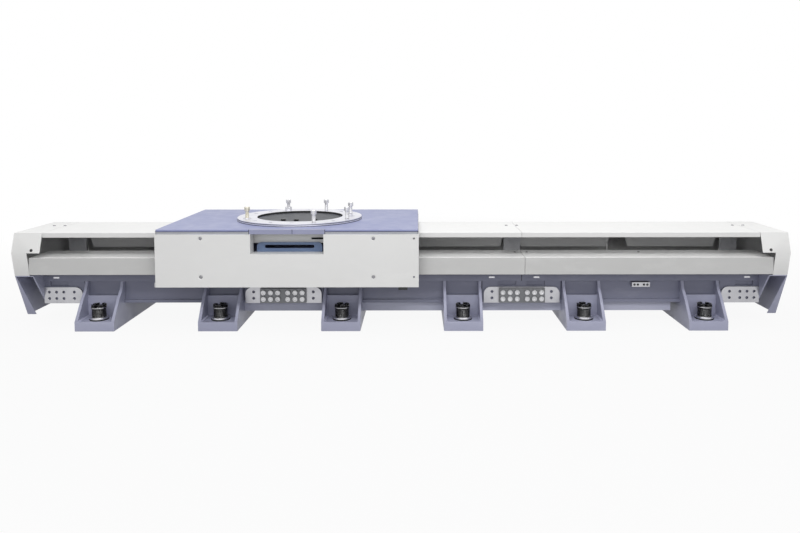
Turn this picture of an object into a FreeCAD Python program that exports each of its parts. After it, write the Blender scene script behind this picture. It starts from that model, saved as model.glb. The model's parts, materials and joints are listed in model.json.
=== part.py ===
import FreeCAD, Part

# Robot linear track: three beam modules on six feet, two rails and a rack under sheet covers, and a
# carriage that reaches round the top cover and carries a robot's mounting ring.
#
# Millimetres. X runs along the track, Y across it away from the front, Z up. The origin is on the
# floor under the middle of the track.

import math
import os
import re

import Sketcher
from FreeCAD import Placement, Rotation, Vector

doc = FreeCAD.newDocument("robot_linear_track")
sheet = doc.addObject("Spreadsheet::Sheet", "Sizes")

SIZES = [
    # Beam modules
    ("module_length", 1000, "one beam module, along the track"),
    ("beam_width", 332, "across the webs"),
    ("beam_height", 124, "from its underside to the rails' seat"),
    ("beam_rise", 91, "its underside above the floor"),
    ("beam_wall", 10, "web thickness"),
    ("beam_top_plate", 20, "thickness under the rails"),
    ("upper_flange_reach", 16, "how far the top band stands out from the web"),
    ("upper_flange_height", 32, "height of the top band"),
    ("lower_flange_reach", 10, "how far the bottom ledge stands out"),
    ("lower_flange_height", 12, "height of the bottom ledge"),
    ("recess_length", 76, "shallow recess above a joint plate"),
    ("recess_height", 19, "its height"),
    ("recess_depth", 7, "its depth"),
    ("recess_inset", 22, "from the joint to the recess"),
    ("recess_rise", 4, "from the joint plate's top to the recess"),
    # Feet
    ("foot_spacing", 500, "between the two feet of a module"),
    ("foot_width", 160, "along the track"),
    ("foot_depth", 580, "across the track"),
    ("foot_base_height", 38, "base plate"),
    ("gusset_thickness", 12, "side plates of a foot"),
    ("gusset_low_reach", 62, "lower kink, out from the web"),
    ("gusset_low_height", 27, "lower kink, above the beam's underside"),
    ("gusset_high_reach", 29, "upper kink, out from the web"),
    ("gusset_high_height", 60, "upper kink, above the beam's underside"),
    ("foot_back_thickness", 10, "plate between the gussets"),
    ("foot_back_height", 33, "its top, above the beam's underside"),
    # Levelling sleeves
    ("sleeve_spacing", 480, "across the track"),
    ("sleeve_radius", 30, "outside"),
    ("sleeve_bore", 13, "radius of the anchor bolt's hole"),
    ("sleeve_height", 101, "from the floor"),
    ("sleeve_fit", 0.5, "clearance round a sleeve"),
    # Joint plates
    ("joint_plate_gap", 10, "from a joint plate to the foot beside it"),
    ("joint_plate_height", 68, "height"),
    ("joint_plate_thickness", 10, "thickness"),
    ("joint_plate_corner", 30, "radius of its top corners"),
    ("joint_block_length", 192, "block on the plate"),
    ("joint_block_height", 62, "its height"),
    ("joint_block_thickness", 12, "its thickness"),
    ("joint_hole_first", 21, "first column of holes, from the joint"),
    ("joint_hole_pitch", 30, "between the columns"),
    ("joint_hole_last", 125, "outer column, from the joint"),
    ("joint_row_gap", 27, "between the two rows"),
    ("joint_hole_radius", 6, "free holes"),
    # Cable trays and switch brackets
    ("tray_width", 320, "across the track"),
    ("tray_height", 39, "below the beam"),
    ("tray_sheet", 3, "sheet thickness"),
    ("tray_end_gap", 34, "from the last tray to the foot beside it"),
    ("switch_spacing", 2000, "between the two switch brackets"),
    ("switch_length", 75, "bracket, along the track"),
    ("switch_height", 19, "its height"),
    ("switch_depth", 24, "out from the web"),
    ("switch_rise", 68, "its underside above the beam's"),
    # Rails, blocks and end stops
    ("rail_offset", 118, "each rail from the middle"),
    ("rail_width", 34, "head and foot"),
    ("rail_waist", 24, "waist"),
    ("rail_height", 29, "height"),
    ("rail_end_gap", 60, "from a rail's end to the beam's end"),
    ("block_spacing", 660, "between the blocks on a rail"),
    ("block_length", 98, "steel body"),
    ("block_width", 100, "across its flanges"),
    ("block_skirt_width", 70, "below its flanges"),
    ("block_flange_height", 18, "flange thickness"),
    ("block_height", 48, "from the beam to its top"),
    ("block_lift", 7.5, "its underside above the beam"),
    ("block_fit", 0.5, "clearance round the rail"),
    ("seal_thickness", 7, "end seals of a block"),
    ("seal_step", 2, "how much smaller a seal is than its block"),
    ("stop_thickness", 20, "steel end stop"),
    ("stop_width", 60, "across the rail"),
    ("stop_height", 55, "above the beam"),
    ("bumper_radius", 18, "rubber bumper"),
    ("bumper_length", 35, "rubber bumper"),
    # Rack and pinion
    ("tooth_module", 6, "of rack and pinion"),
    ("rack_teeth", 39, "in each of three lengths of rack"),
    ("rack_height", 36, "above the beam"),
    ("rack_back", 17, "behind the roots"),
    ("pinion_teeth", 16, "number of teeth"),
    ("pinion_width", 30, "face width"),
    ("pinion_offset", 27, "its axis in front of the middle"),
    ("pinion_lift", 3, "above the beam"),
    ("tooth_play", 0.4, "backlash at the pitch line"),
    ("shaft_radius", 16, "pinion shaft"),
    ("shaft_gap", 0.3, "below the gearbox pilot"),
    # Covers
    ("top_cover_length", 975, "one length of the top cover"),
    ("top_cover_height", 400, "its top above the floor"),
    ("top_cover_front", 262, "front edge, from the middle"),
    ("top_cover_back", 66, "back edge, from the middle"),
    ("top_cover_lip", 20, "height of its folded edges"),
    ("cover_sheet", 4, "sheet of top cover and end caps"),
    ("cover_gap", 1, "between neighbouring covers"),
    ("side_sheet", 3, "sheet of front and rear covers"),
    ("side_reach", 274, "their outer face, from the middle"),
    ("side_inner", 99, "their inner edge, from the middle"),
    ("side_bottom", 229, "their underside above the floor"),
    ("front_cover_height", 299, "top of the front covers"),
    ("front_flange", 15, "inner flange of the front covers"),
    ("rear_cover_height", 345, "top of the rear covers"),
    ("rear_flange", 64, "inner flange of the rear covers"),
    ("rear_flange_slant", 18, "slant of its ends"),
    ("rear_flange_inset", 30, "from a cover's end to its flange"),
    ("rear_cover_length", 487.5, "one rear cover"),
    ("spacer_length", 30, "under the covers' lower flanges"),
    ("spacer_depth", 10, "across the track"),
    ("post_width", 75, "cover posts"),
    ("post_back", 47, "their front face, from the middle"),
    ("post_sheet", 6, "their plate"),
    ("post_foot", 18, "depth of their feet"),
    ("post_reach", 80, "front end of their arms, from the middle"),
    # Ends
    ("end_length", 75, "end frame, beyond the beam"),
    ("end_nose_reach", 290, "widest point of an end cap, from the middle"),
    ("end_nose_height", 321, "height of that point"),
    ("end_foot_reach", 269, "end cap's lower edge, from the middle"),
    ("end_cap_bottom", 225, "end cap's lower edge above the floor"),
    ("end_shoulder_height", 350, "rear shoulder of an end cap"),
    ("end_step", 60, "depth of an end cap below its nose"),
    ("end_plate_bottom", 44, "end plate's lower edge above the floor"),
    ("end_plate_foot", 182, "half of its lower edge"),
    ("end_plate_sheet", 4, "end plate"),
    ("end_bracket_sheet", 6, "plate on the beam's end"),
    ("end_bracket_foot", 174, "half of its lower edge"),
    ("end_bracket_height", 101, "its lower corner above the floor"),
    ("end_flange", 32, "folded edge of the end plate, at its foot"),
    # Carriage
    ("carriage_rest", -455, "middle of the carriage in the stored pose"),
    ("carriage_length", 1040, "plate, along the track"),
    ("carriage_depth", 690, "plate, across the track"),
    ("carriage_lift", 6, "above the top cover"),
    ("carriage_steel", 10, "steel lower plate"),
    ("carriage_paint", 8, "painted upper plate"),
    ("carriage_corner", 4, "bevel of its corners"),
    ("arm_length", 800, "front and rear arm"),
    ("arm_base", 14, "arm on its guide blocks"),
    ("arm_riser_near", 72, "riser's inner face, from the middle"),
    ("arm_riser", 20, "riser thickness"),
    ("arm_shelf", 16, "front shelf thickness"),
    ("arm_shelf_gap", 8, "above the front cover"),
    ("arm_post", 20, "outer plate of an arm"),
    ("arm_post_bottom", 215, "its lower edge above the floor"),
    ("arm_roof", 20, "top plate of the rear arm"),
    ("arm_rib", 12, "ribs under it"),
    ("arm_rib_drop", 34, "their depth"),
    ("arm_rib_spacing", 258, "between ribs"),
    ("arm_window", 330, "gap in the front arm behind the window"),
    ("tongue_width", 120, "gearbox seat on the front arm"),
    ("tongue_back", 20, "its rear edge, from the middle"),
    ("panel_sheet", 3, "front and rear panel"),
    ("panel_over", 2, "panel beyond the plate, at each end"),
    ("panel_bottom", 194, "panel's lower edge above the floor"),
    ("panel_flange", 25, "its folded edges"),
    ("panel_gap", 0.5, "below the carriage plate"),
    ("panel_hole_side", 503, "two small holes, from the middle"),
    ("panel_hole_low", 41, "lower hole, above the panel's edge"),
    ("panel_hole_high", 195, "upper hole, above the panel's edge"),
    ("panel_hole_radius", 4, "radius"),
    ("window_length", 290, "opening in the front panel"),
    ("window_sheet", 3, "its frame"),
    ("window_depth", 60, "depth of its frame"),
    ("notch_length", 300, "in the plates' front edge"),
    ("bar_depth", 27, "bars that close the notch"),
    ("bar_gap", 0.5, "round the bars"),
    ("bar_split", 21, "where the two bars meet, from the middle"),
    ("loop_length", 264, "slotted stay behind the window"),
    ("loop_height", 41, "its height"),
    ("loop_thickness", 10, "its thickness"),
    ("loop_end", 32, "solid at each end"),
    ("loop_foot", 17, "solid below the slot"),
    ("loop_slot", 14, "height of the slot"),
    ("guard_sheet", 2, "sheet behind the stay"),
    ("guard_drop", 46, "its height"),
    ("guard_slot_start", 87, "slot in it, from the middle"),
    ("guard_slot_length", 53, "length of the slot"),
    ("guard_slot_height", 9, "height of the slot"),
    # Ring and bolts
    ("ring_radius", 270, "outside"),
    ("ring_bore", 185, "inside"),
    ("ring_height", 12, "thickness"),
    ("bolt_circle", 464, "diameter"),
    ("bolt_hole_radius", 8.75, "sixteen holes in the ring"),
    ("bolt_radius", 8, "shank"),
    ("bolt_head_radius", 12, "head"),
    ("bolt_head_height", 16, "head"),
    ("bolt_length", 46, "shank, up from the plate"),
    ("floor_gap", 1, "between the ring's bore and the dark cover in it"),
    ("floor_height", 3, "its thickness"),
    # Drive and sensor
    ("gearbox_width", 90, "square housing"),
    ("gearbox_height", 95, "housing"),
    ("pilot_radius", 35, "its pilot in the arm"),
    ("pilot_fit", 0.5, "clearance round the pilot"),
    ("adapter_width", 84, "between gearbox and motor"),
    ("adapter_length", 16, "between gearbox and motor"),
    ("motor_width", 78, "square housing"),
    ("motor_length", 170, "housing"),
    ("motor_cap_length", 28, "rear cap"),
    ("motor_cap_step", 3, "cap smaller than the housing"),
    ("drive_corner", 8, "bevelled edges of gearbox and motor"),
    ("sensor_side", 459, "position sensor, from the middle"),
    ("sensor_length", 36, "along the track"),
    ("sensor_width", 20, "across the track"),
    ("sensor_height", 12, "below the panel"),
]

for row, (alias, number, note) in enumerate(SIZES, start=1):
    sheet.set(f"A{row}", alias)
    sheet.set(f"B{row}", str(number))
    sheet.setAlias(f"B{row}", alias)
    sheet.set(f"C{row}", note)
doc.recompute()

ALIASES = {alias for alias, number, note in SIZES}

# Places worked out from the sizes

TOP = "(beam_rise + beam_height)"
WEB = "(beam_width / 2)"
FLANGE = "(beam_width / 2 + upper_flange_reach)"
FLANGE_UNDER = "(beam_rise + beam_height - upper_flange_height)"
PAD = "(beam_width / 2 + lower_flange_reach)"
PLATE_HALF = "(module_length / 2 - foot_spacing / 2 - foot_width / 2 - joint_plate_gap)"
RECESS_HALF = "(foot_spacing / 2 + foot_width / 2 + joint_plate_gap / 2)"
PLATE_FACE = f"({PAD} + joint_plate_thickness)"
ROW_MIDDLE = "(beam_rise + joint_plate_height / 2)"
TRACK_HALF = "(module_length * 3 / 2)"
BLOCK_TOP = f"({TOP} + block_height)"
SHELF = "(front_cover_height + arm_shelf_gap)"
SHELF_TOP = f"({SHELF} + arm_shelf)"
PLATE_BOTTOM = "(top_cover_height + carriage_lift)"
PLATE_TOP = f"({PLATE_BOTTOM} + carriage_steel + carriage_paint)"
FRONT = "(carriage_depth / 2)"
BLOCK_OUTER = "(rail_offset + block_width / 2)"
GEARBOX_FOOT = f"({BLOCK_TOP} + arm_base)"
LOOP_FRONT = f"({FRONT} - window_depth - 2)"
RING_TOP = f"({PLATE_TOP} + ring_height)"
HALF_WINDOW = "(window_length / 2)"

nodes = []


def formula(text):
    """The text with every size in it pointed at its cell."""
    return re.sub(r"[a-z]\w*", lambda word: "Sizes." + word[0] if word[0] in ALIASES else word[0], text)


def bind(thing, prop, text):
    thing.setExpression(prop, formula(text))


def size(alias):
    """A size as a number, for the gear teeth."""
    return float(sheet.get(alias))


def keep(thing, name):
    """Take an object into the model as the node of that name."""
    thing.Label = name
    nodes.append(thing)
    return thing


def unused_name(stem):
    number = 1
    while doc.getObject(f"{stem}_{number}"):
        number += 1
    return f"{stem}_{number}"


# Primitives and groups


def box(stem, x, y, z):
    """A box from the low and high formula along each axis."""
    made = doc.addObject("Part::Box", unused_name(stem))
    for axis, side, (low, high) in zip("xyz", ("Length", "Width", "Height"), (x, y, z)):
        bind(made, "Placement.Base." + axis, low)
        bind(made, side, f"({high}) - ({low})")
    return made


def cylinder(stem, at, radius, height, turn=None):
    made = doc.addObject("Part::Cylinder", unused_name(stem))
    if turn:
        made.Placement = Placement(Vector(), turn)
    for axis, text in zip("xyz", at):
        bind(made, "Placement.Base." + axis, text)
    bind(made, "Radius", radius)
    bind(made, "Height", height)
    return made


TOWARDS_FRONT = Rotation(Vector(1, 0, 0), 90)
HALF_TURN = Rotation(Vector(0, 0, 1), 180)


def copy(source, x="0", y="0", z="0", turn=None):
    made = doc.addObject("App::Link", unused_name(source.Name + "_copy"))
    made.LinkedObject = source
    if turn:
        made.Placement = Placement(Vector(), turn)
    for axis, text in zip("xyz", (x, y, z)):
        bind(made, ".Placement.Base." + axis, text)
    return made


def mirrored(source, name, normal):
    made = doc.addObject("Part::Mirroring", name)
    made.Source = source
    made.Normal = normal
    return made


def group(name, members):
    made = doc.addObject("Part::Compound", name)
    made.Links = members
    return keep(made, name)


def cut(name, base, tool):
    made = doc.addObject("Part::Cut", name)
    made.Base = base
    made.Tool = tool
    return made


# Bodies and their features


def body(name):
    return doc.addObject("PartDesign::Body", name)


PLANES = {"X": "YZ_Plane", "Y": "XZ_Plane", "Z": "XY_Plane"}


def origin_item(of_body, role):
    return next(item for item in of_body.Origin.OriginFeatures if item.Role == role)


def sketch(part, axis, loops, at="0"):
    """Closed outlines on a plane across an axis. A loop is a list of corners, or (u, v, radius)."""
    made = part.newObject("Sketcher::SketchObject", unused_name(part.Name + "_outline"))
    made.AttachmentSupport = [(origin_item(part, PLANES[axis]), "")]
    made.MapMode = "FlatFace"
    sign = "-" if axis == "Y" else ""
    bind(made, "AttachmentOffset.Base.z", f"{sign}({at})")
    for loop in loops:
        if isinstance(loop, tuple):
            draw_circle(made, *loop)
        else:
            draw_corners(made, loop)
    return made


def hold(made, geometry, point, u, v):
    """Hold one point of a sketch at two formulas."""
    for kind, text in (("DistanceX", u), ("DistanceY", v)):
        index = made.addConstraint(Sketcher.Constraint(kind, -1, 1, geometry, point, 0.0))
        bind(made, f"Constraints[{index}]", text)


def draw_circle(made, u, v, radius):
    index = made.addGeometry(Part.Circle(Vector(), Vector(0, 0, 1), 10), False)
    hold(made, index, 3, u, v)
    held = made.addConstraint(Sketcher.Constraint("Radius", index, 10))
    bind(made, f"Constraints[{held}]", radius)


def draw_corners(made, corners):
    count = len(corners)
    first = made.GeometryCount
    start = [Vector(50 * math.cos(2 * math.pi * i / count), 50 * math.sin(2 * math.pi * i / count), 0)
             for i in range(count)]
    for i in range(count):
        made.addGeometry(Part.LineSegment(start[i], start[(i + 1) % count]), False)
    for i in range(count):
        made.addConstraint(Sketcher.Constraint("Coincident", first + i, 2, first + (i + 1) % count, 1))
    for i, (u, v) in enumerate(corners):
        hold(made, first + i, 1, u, v)


def pad(part, axis, loops, low, high):
    made = part.newObject("PartDesign::Pad", unused_name(part.Name + "_pad"))
    made.Profile = sketch(part, axis, loops, high if axis == "Y" else low)
    bind(made, "Length", f"({high}) - ({low})")
    return made


def pocket(part, axis, loops, low, high):
    made = part.newObject("PartDesign::Pocket", unused_name(part.Name + "_pocket"))
    made.Profile = sketch(part, axis, loops, low if axis == "Y" else high)
    bind(made, "Length", f"({high}) - ({low})")
    return made


ROUND_SIDES = 12


def prism(part, kind, axis, centre, radius, low, high):
    """A twelve-sided prism along an axis. Small rounds that repeat are made so, to keep the model light."""
    made = part.newObject(f"PartDesign::{kind}Prism", unused_name(part.Name + "_prism"))
    made.AttachmentSupport = [(origin_item(part, PLANES[axis]), "")]
    made.MapMode = "FlatFace"
    made.Polygon = ROUND_SIDES
    start = f"-({high})" if axis == "Y" else low
    for name, text in zip("xyz", (*centre, start)):
        bind(made, "AttachmentOffset.Base." + name, text)
    bind(made, "Circumradius", radius)
    bind(made, "Height", f"({high}) - ({low})")
    return made


def mirror_feature(part, feature, role):
    made = part.newObject("PartDesign::Mirrored", unused_name(part.Name + "_mirrored"))
    made.Originals = [feature]
    made.MirrorPlane = (origin_item(part, role), [""])
    part.Tip = made
    return made


def edges_where(feature, wanted):
    return [f"Edge{i}" for i, edge in enumerate(feature.Shape.Edges, start=1) if wanted(edge)]


def runs_along(edge, axis):
    ends = [vertex.Point for vertex in edge.Vertexes]
    if len(ends) < 2:
        return False
    other = [name for name in "xyz" if name != axis]
    return all(abs(getattr(ends[0], name) - getattr(ends[1], name)) < 1e-6 for name in other)


def fillet(part, feature, radius, wanted):
    doc.recompute()
    made = part.newObject("PartDesign::Fillet", unused_name(part.Name + "_fillet"))
    made.Base = (feature, edges_where(feature, wanted))
    bind(made, "Radius", radius)
    return made


def chamfer(part, feature, width, wanted):
    doc.recompute()
    made = part.newObject("PartDesign::Chamfer", unused_name(part.Name + "_chamfer"))
    made.Base = (feature, edges_where(feature, wanted))
    bind(made, "Size", width)
    return made


def rectangle(u, v):
    """Corners of a rectangle from its low and high formula each way."""
    return [(u[0], v[0]), (u[1], v[0]), (u[1], v[1]), (u[0], v[1])]


def across(text):
    """The low and high formula of a size that is centred."""
    return f"-({text}) / 2", f"({text}) / 2"


def both_sides(corners):
    """An outline given on the +Y side, closed by its mirror image."""
    return corners + [(f"-({u})", v) for u, v in reversed(corners)]


# Beam modules

MODULES = (("left", -1), ("middle", 0), ("right", 1))


def beam(side, place):
    part = body("beam_" + side)
    outline = both_sides([(PAD, "beam_rise"), (PAD, FLANGE_UNDER), (FLANGE, FLANGE_UNDER), (FLANGE, TOP)])
    inner = "(beam_width / 2 - beam_wall)"
    hollow = rectangle(
        (f"-{inner}", inner),
        ("beam_rise + lower_flange_height", f"{TOP} - beam_top_plate"),
    )
    pad(part, "X", [outline, hollow], *across("module_length"))
    height = ("beam_rise + lower_flange_height", FLANGE_UNDER)
    webs = [rectangle((WEB, PAD), height), rectangle((f"-{PAD}", f"-{WEB}"), height)]
    pocket(part, "X", webs, f"-{RECESS_HALF}", RECESS_HALF)
    near = "(module_length / 2 - recess_inset)"
    low = "(beam_rise + joint_plate_height + recess_rise)"
    windows = [
        rectangle((f"{near} - recess_length", near), (low, f"{low} + recess_height")),
        rectangle((f"-{near}", f"-{near} + recess_length"), (low, f"{low} + recess_height")),
    ]
    front = pocket(part, "Y", windows, f"-{PAD}", f"-{PAD} + recess_depth")
    mirror_feature(part, front, "XZ_Plane")
    bind(part, "Placement.Base.x", f"{place} * module_length")
    return keep(part, part.Name)


for side, place in MODULES:
    beam(side, place)


# Feet, each a welded base plate, two cradle plates and two back plates

FOOT_PLACES = [f"({place} * module_length + {half} * foot_spacing / 2)"
               for side, place in MODULES for half in (-1, 1)]


def foot(number, x):
    part = body(f"foot_{number}")
    half_width = "foot_width / 2"
    pad(part, "Z", [rectangle(across("foot_width"), across("foot_depth"))], "0", "foot_base_height")
    for sign in ("-", ""):
        centre = ("0", f"{sign}sleeve_spacing / 2")
        prism(part, "Subtractive", "Z", centre, "sleeve_radius + sleeve_fit", "0", "foot_base_height")
    cradle = both_sides([
        ("foot_depth / 2", "foot_base_height"),
        (f"{WEB} + gusset_low_reach", "beam_rise + gusset_low_height"),
        (f"{WEB} + gusset_high_reach", "beam_rise + gusset_high_height"),
        (FLANGE, FLANGE_UNDER),
        (WEB, FLANGE_UNDER),
        (WEB, "beam_rise + lower_flange_height"),
        (PAD, "beam_rise + lower_flange_height"),
        (PAD, "beam_rise"),
    ])
    side_plate = pad(part, "X", [cradle], f"{half_width} - gusset_thickness", half_width)
    mirror_feature(part, side_plate, "YZ_Plane")
    between = ("-foot_width / 2 + gusset_thickness", "foot_width / 2 - gusset_thickness")
    backs = [rectangle(between, (PAD, f"{PAD} + foot_back_thickness")),
             rectangle(between, (f"-{PAD} - foot_back_thickness", f"-{PAD}"))]
    pad(part, "Z", backs, "foot_base_height", "beam_rise + foot_back_height")
    bind(part, "Placement.Base.x", x)
    return keep(part, part.Name)


for number, x in enumerate(FOOT_PLACES, start=1):
    foot(number, x)


# Levelling sleeves, which the anchor bolts go through


def sleeve():
    part = body("sleeve_form")
    prism(part, "Additive", "Z", ("0", "0"), "sleeve_radius", "0", "sleeve_height")
    pocket(part, "Z", [("0", "0", "sleeve_bore")], "0", "sleeve_height")
    return part


SLEEVE_PLACES = [(x, f"{sign}sleeve_spacing / 2") for x in FOOT_PLACES for sign in ("-", "")]
sleeve_form = sleeve()
group("levelling_sleeves", [copy(sleeve_form, x, y) for x, y in SLEEVE_PLACES])


# Joint plates over the module joints, and half plates at the track's ends

JOINTS = ("-module_length / 2", "module_length / 2")
ROWS = (f"{ROW_MIDDLE} - joint_row_gap / 2", f"{ROW_MIDDLE} + joint_row_gap / 2")
COLUMNS = ["joint_hole_first", "joint_hole_first + joint_hole_pitch", "joint_hole_first + 2 * joint_hole_pitch"]


def plate_holes(part, columns):
    for column in columns:
        for row in ROWS:
            prism(part, "Subtractive", "Y", (column, row), "joint_hole_radius", f"-{PLATE_FACE}", f"-{PAD}")


def joint_plate():
    part = body("joint_plate_form")
    outline = rectangle((f"-{PLATE_HALF}", PLATE_HALF), ("beam_rise", "beam_rise + joint_plate_height"))
    plate = pad(part, "Y", [outline], f"-{PLATE_FACE}", f"-{PAD}")
    top = size("beam_rise") + size("joint_plate_height")
    fillet(part, plate, "joint_plate_corner", lambda edge: runs_along(edge, "y") and edge.CenterOfMass.z > top - 1)
    plate_holes(part, ["-joint_hole_last", "joint_hole_last"])
    return part


def end_joint_plate():
    part = body("end_joint_plate_form")
    outline = rectangle((f"-{TRACK_HALF}", f"-{TRACK_HALF} + {PLATE_HALF}"),
                        ("beam_rise", "beam_rise + joint_plate_height"))
    plate = pad(part, "Y", [outline], f"-{PLATE_FACE}", f"-{PAD}")
    top = size("beam_rise") + size("joint_plate_height")
    inner = -1.5 * size("module_length") + 1
    fillet(part, plate, "joint_plate_corner",
           lambda edge: runs_along(edge, "y") and edge.CenterOfMass.z > top - 1 and edge.CenterOfMass.x > inner)
    plate_holes(part, [f"-{TRACK_HALF} + {column}" for column in COLUMNS + ["joint_hole_last"]])
    return part


joint_plate_form = joint_plate()
group("joint_plates", [copy(joint_plate_form, x, turn=turn) for x in JOINTS for turn in (None, HALF_TURN)])

end_form = end_joint_plate()
right_form = mirrored(end_form, "end_joint_plate_right", Vector(1, 0, 0))
group("end_joint_plates", [copy(end_form), copy(right_form)])

BLOCK_FACE = f"({PLATE_FACE} + joint_block_thickness)"


def joint_blocks():
    made = []
    for x in JOINTS:
        for y in ((f"-{BLOCK_FACE}", f"-{PLATE_FACE}"), (PLATE_FACE, BLOCK_FACE)):
            span = (f"{x} - joint_block_length / 2", f"{x} + joint_block_length / 2")
            height = (f"{ROW_MIDDLE} - joint_block_height / 2", f"{ROW_MIDDLE} + joint_block_height / 2")
            made.append(box("joint_block", span, y, height))
    return made


group("joint_blocks", joint_blocks())


# Cable trays under the beam, and switch brackets on its front web


def cable_trays():
    part = body("cable_trays")
    half = "tray_width / 2"
    inner = "(tray_width / 2 - tray_sheet)"
    low = "(beam_rise - tray_height)"
    section = both_sides([(half, low), (half, "beam_rise"), (inner, "beam_rise"), (inner, f"{low} + tray_sheet")])
    for number, (start, end) in enumerate(zip(FOOT_PLACES[1:-1], FOOT_PLACES[2:])):
        last = number == len(FOOT_PLACES) - 3
        gap = " - tray_end_gap" if last else ""
        pad(part, "X", [section], f"{start} + foot_width / 2", f"{end} - foot_width / 2{gap}")
    return keep(part, part.Name)


def switch_bracket():
    part = body("switch_bracket_form")
    low = "(beam_rise + switch_rise)"
    outline = rectangle(across("switch_length"), (low, f"{low} + switch_height"))
    pad(part, "Y", [outline], f"-{WEB} - switch_depth", f"-{WEB}")
    return part


cable_trays()
switch_form = switch_bracket()
group("switch_brackets", [copy(switch_form, f"{sign}switch_spacing / 2") for sign in ("-", "")])


# Rails, guide blocks with end seals, and end stops

RAIL_CORNERS = [("rail_width / 2", 0), ("rail_width / 2", 0.34), ("rail_waist / 2", 0.52),
                ("rail_waist / 2", 0.58), ("rail_width / 2", 0.76), ("rail_width / 2", 0.93),
                ("rail_width / 2 - 2", 1)]


def rail(name, sign):
    part = body(name)
    corners = [(half, f"{TOP} + rail_height * {share}") for half, share in RAIL_CORNERS]
    length = f"{TRACK_HALF} - rail_end_gap"
    pad(part, "X", [both_sides(corners)], f"-({length})", length)
    bind(part, "Placement.Base.y", f"{sign}rail_offset")
    return keep(part, name)


def channel():
    """The rail's side and top, grown by the running clearance, from a block's underside up."""
    corners = [(f"{half} + block_fit", f"{TOP} + rail_height * {share} + block_fit")
               for half, share in RAIL_CORNERS[1:6]]
    corners.append((RAIL_CORNERS[5][0] + " + block_fit", f"{TOP} + rail_height + block_fit"))
    return [(RAIL_CORNERS[0][0] + " + block_fit", f"{TOP} + block_lift")] + corners


def guide_block():
    part = body("guide_block_form")
    outer = [("block_skirt_width / 2", f"{TOP} + block_lift"),
             ("block_skirt_width / 2", f"{BLOCK_TOP} - block_flange_height"),
             ("block_width / 2", f"{BLOCK_TOP} - block_flange_height"),
             ("block_width / 2", BLOCK_TOP)]
    section = outer + [(f"-({u})", v) for u, v in reversed(outer)]
    section += [(f"-({u})", v) for u, v in channel()] + list(reversed(channel()))
    pad(part, "X", [section], *across("block_length"))
    return part


def block_seal():
    part = body("block_seal_form")
    outer = [("block_skirt_width / 2 - seal_step", f"{TOP} + block_lift"),
             ("block_skirt_width / 2 - seal_step", f"{BLOCK_TOP} - seal_step")]
    inner = [("rail_width / 2 + block_fit", f"{TOP} + block_lift"),
             ("rail_width / 2 + block_fit", f"{TOP} + rail_height + block_fit")]
    section = outer + [(f"-({u})", v) for u, v in reversed(outer)]
    section += [(f"-({u})", v) for u, v in inner] + list(reversed(inner))
    pad(part, "X", [section], "0", "seal_thickness")
    return part


rail("rail_front", "-")
rail("rail_rear", "")

BLOCK_PLACES = [(f"carriage_rest + {along}block_spacing / 2", f"{side}rail_offset")
                for along in ("-", "") for side in ("-", "")]
block_form = guide_block()
seal_form = block_seal()
group("guide_blocks", [copy(block_form, x, y) for x, y in BLOCK_PLACES])
group("block_seals", [copy(seal_form, f"{x} + {start}", y) for x, y in BLOCK_PLACES
                      for start in ("block_length / 2", "(-block_length / 2 - seal_thickness)")])


def end_stops():
    made = []
    for x in ((f"-{TRACK_HALF}", f"-{TRACK_HALF} + stop_thickness"), (f"{TRACK_HALF} - stop_thickness", TRACK_HALF)):
        for sign in ("-", ""):
            y = (f"{sign}rail_offset - stop_width / 2", f"{sign}rail_offset + stop_width / 2")
            made.append(box("end_stop", x, y, (TOP, f"{TOP} + stop_height")))
    return made


def bumper():
    part = body("bumper_form")
    prism(part, "Additive", "X", ("0", "0"), "bumper_radius", "0", "bumper_length")
    return part


BUMPER_START = f"({TRACK_HALF} - stop_thickness - bumper_length)"
BUMPER_LIFT = f"({TOP} + block_height / 2 + block_lift / 2)"
bumper_form = bumper()
group("end_stops", end_stops())
group("bumpers", [
    copy(bumper_form, f"{way}{BUMPER_START}", f"{sign}rail_offset", BUMPER_LIFT, turn)
    for way, turn in (("", None), ("-", HALF_TURN)) for sign in ("-", "")
])


# Rack and pinion, with teeth that mesh by the same module and pressure angle

PRESSURE_ANGLE = math.radians(20)
ADDENDUM = 0.9
DEDENDUM = 1.15
FLANK_STEPS = 3


def extruded(corners, low, high):
    """A prism on a flat outline, from one height to another."""
    points = [Vector(x, y, low) for x, y in corners]
    wire = Part.makePolygon(points + points[:1])
    return Part.Face(wire).extrude(Vector(0, 0, high - low))


def tooth_feature(name, shape):
    made = doc.addObject("Part::Feature", name)
    made.Shape = shape
    return keep(made, name)


def rack():
    module = size("tooth_module")
    pitch = math.pi * module
    teeth = int(size("rack_teeth"))
    pitch_line = module * size("pinion_teeth") / 2 - size("pinion_offset")
    half_tooth = pitch / 4 - size("tooth_play") / 4
    tip = half_tooth - ADDENDUM * module * math.tan(PRESSURE_ANGLE)
    root = half_tooth + DEDENDUM * module * math.tan(PRESSURE_ANGLE)
    tip_y = pitch_line - ADDENDUM * module
    root_y = pitch_line + DEDENDUM * module
    length = teeth * pitch
    low = size("beam_rise") + size("beam_height")
    pieces = []
    for side, place in MODULES:
        start = place * length - length / 2
        corners = [(start + length, root_y + size("rack_back")), (start, root_y + size("rack_back")), (start, root_y)]
        for number in range(teeth):
            middle = start + (number + 0.5) * pitch
            corners += [(middle - root, root_y), (middle - tip, tip_y), (middle + tip, tip_y), (middle + root, root_y)]
        corners.append((start + length, root_y))
        pieces.append(extruded(corners, low, low + size("rack_height")))
    return tooth_feature("gear_rack", Part.Compound(pieces))


def involute(base, radius):
    """The angle that an involute has turned through where it reaches a radius."""
    angle = math.acos(base / radius)
    return math.tan(angle) - angle


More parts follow.
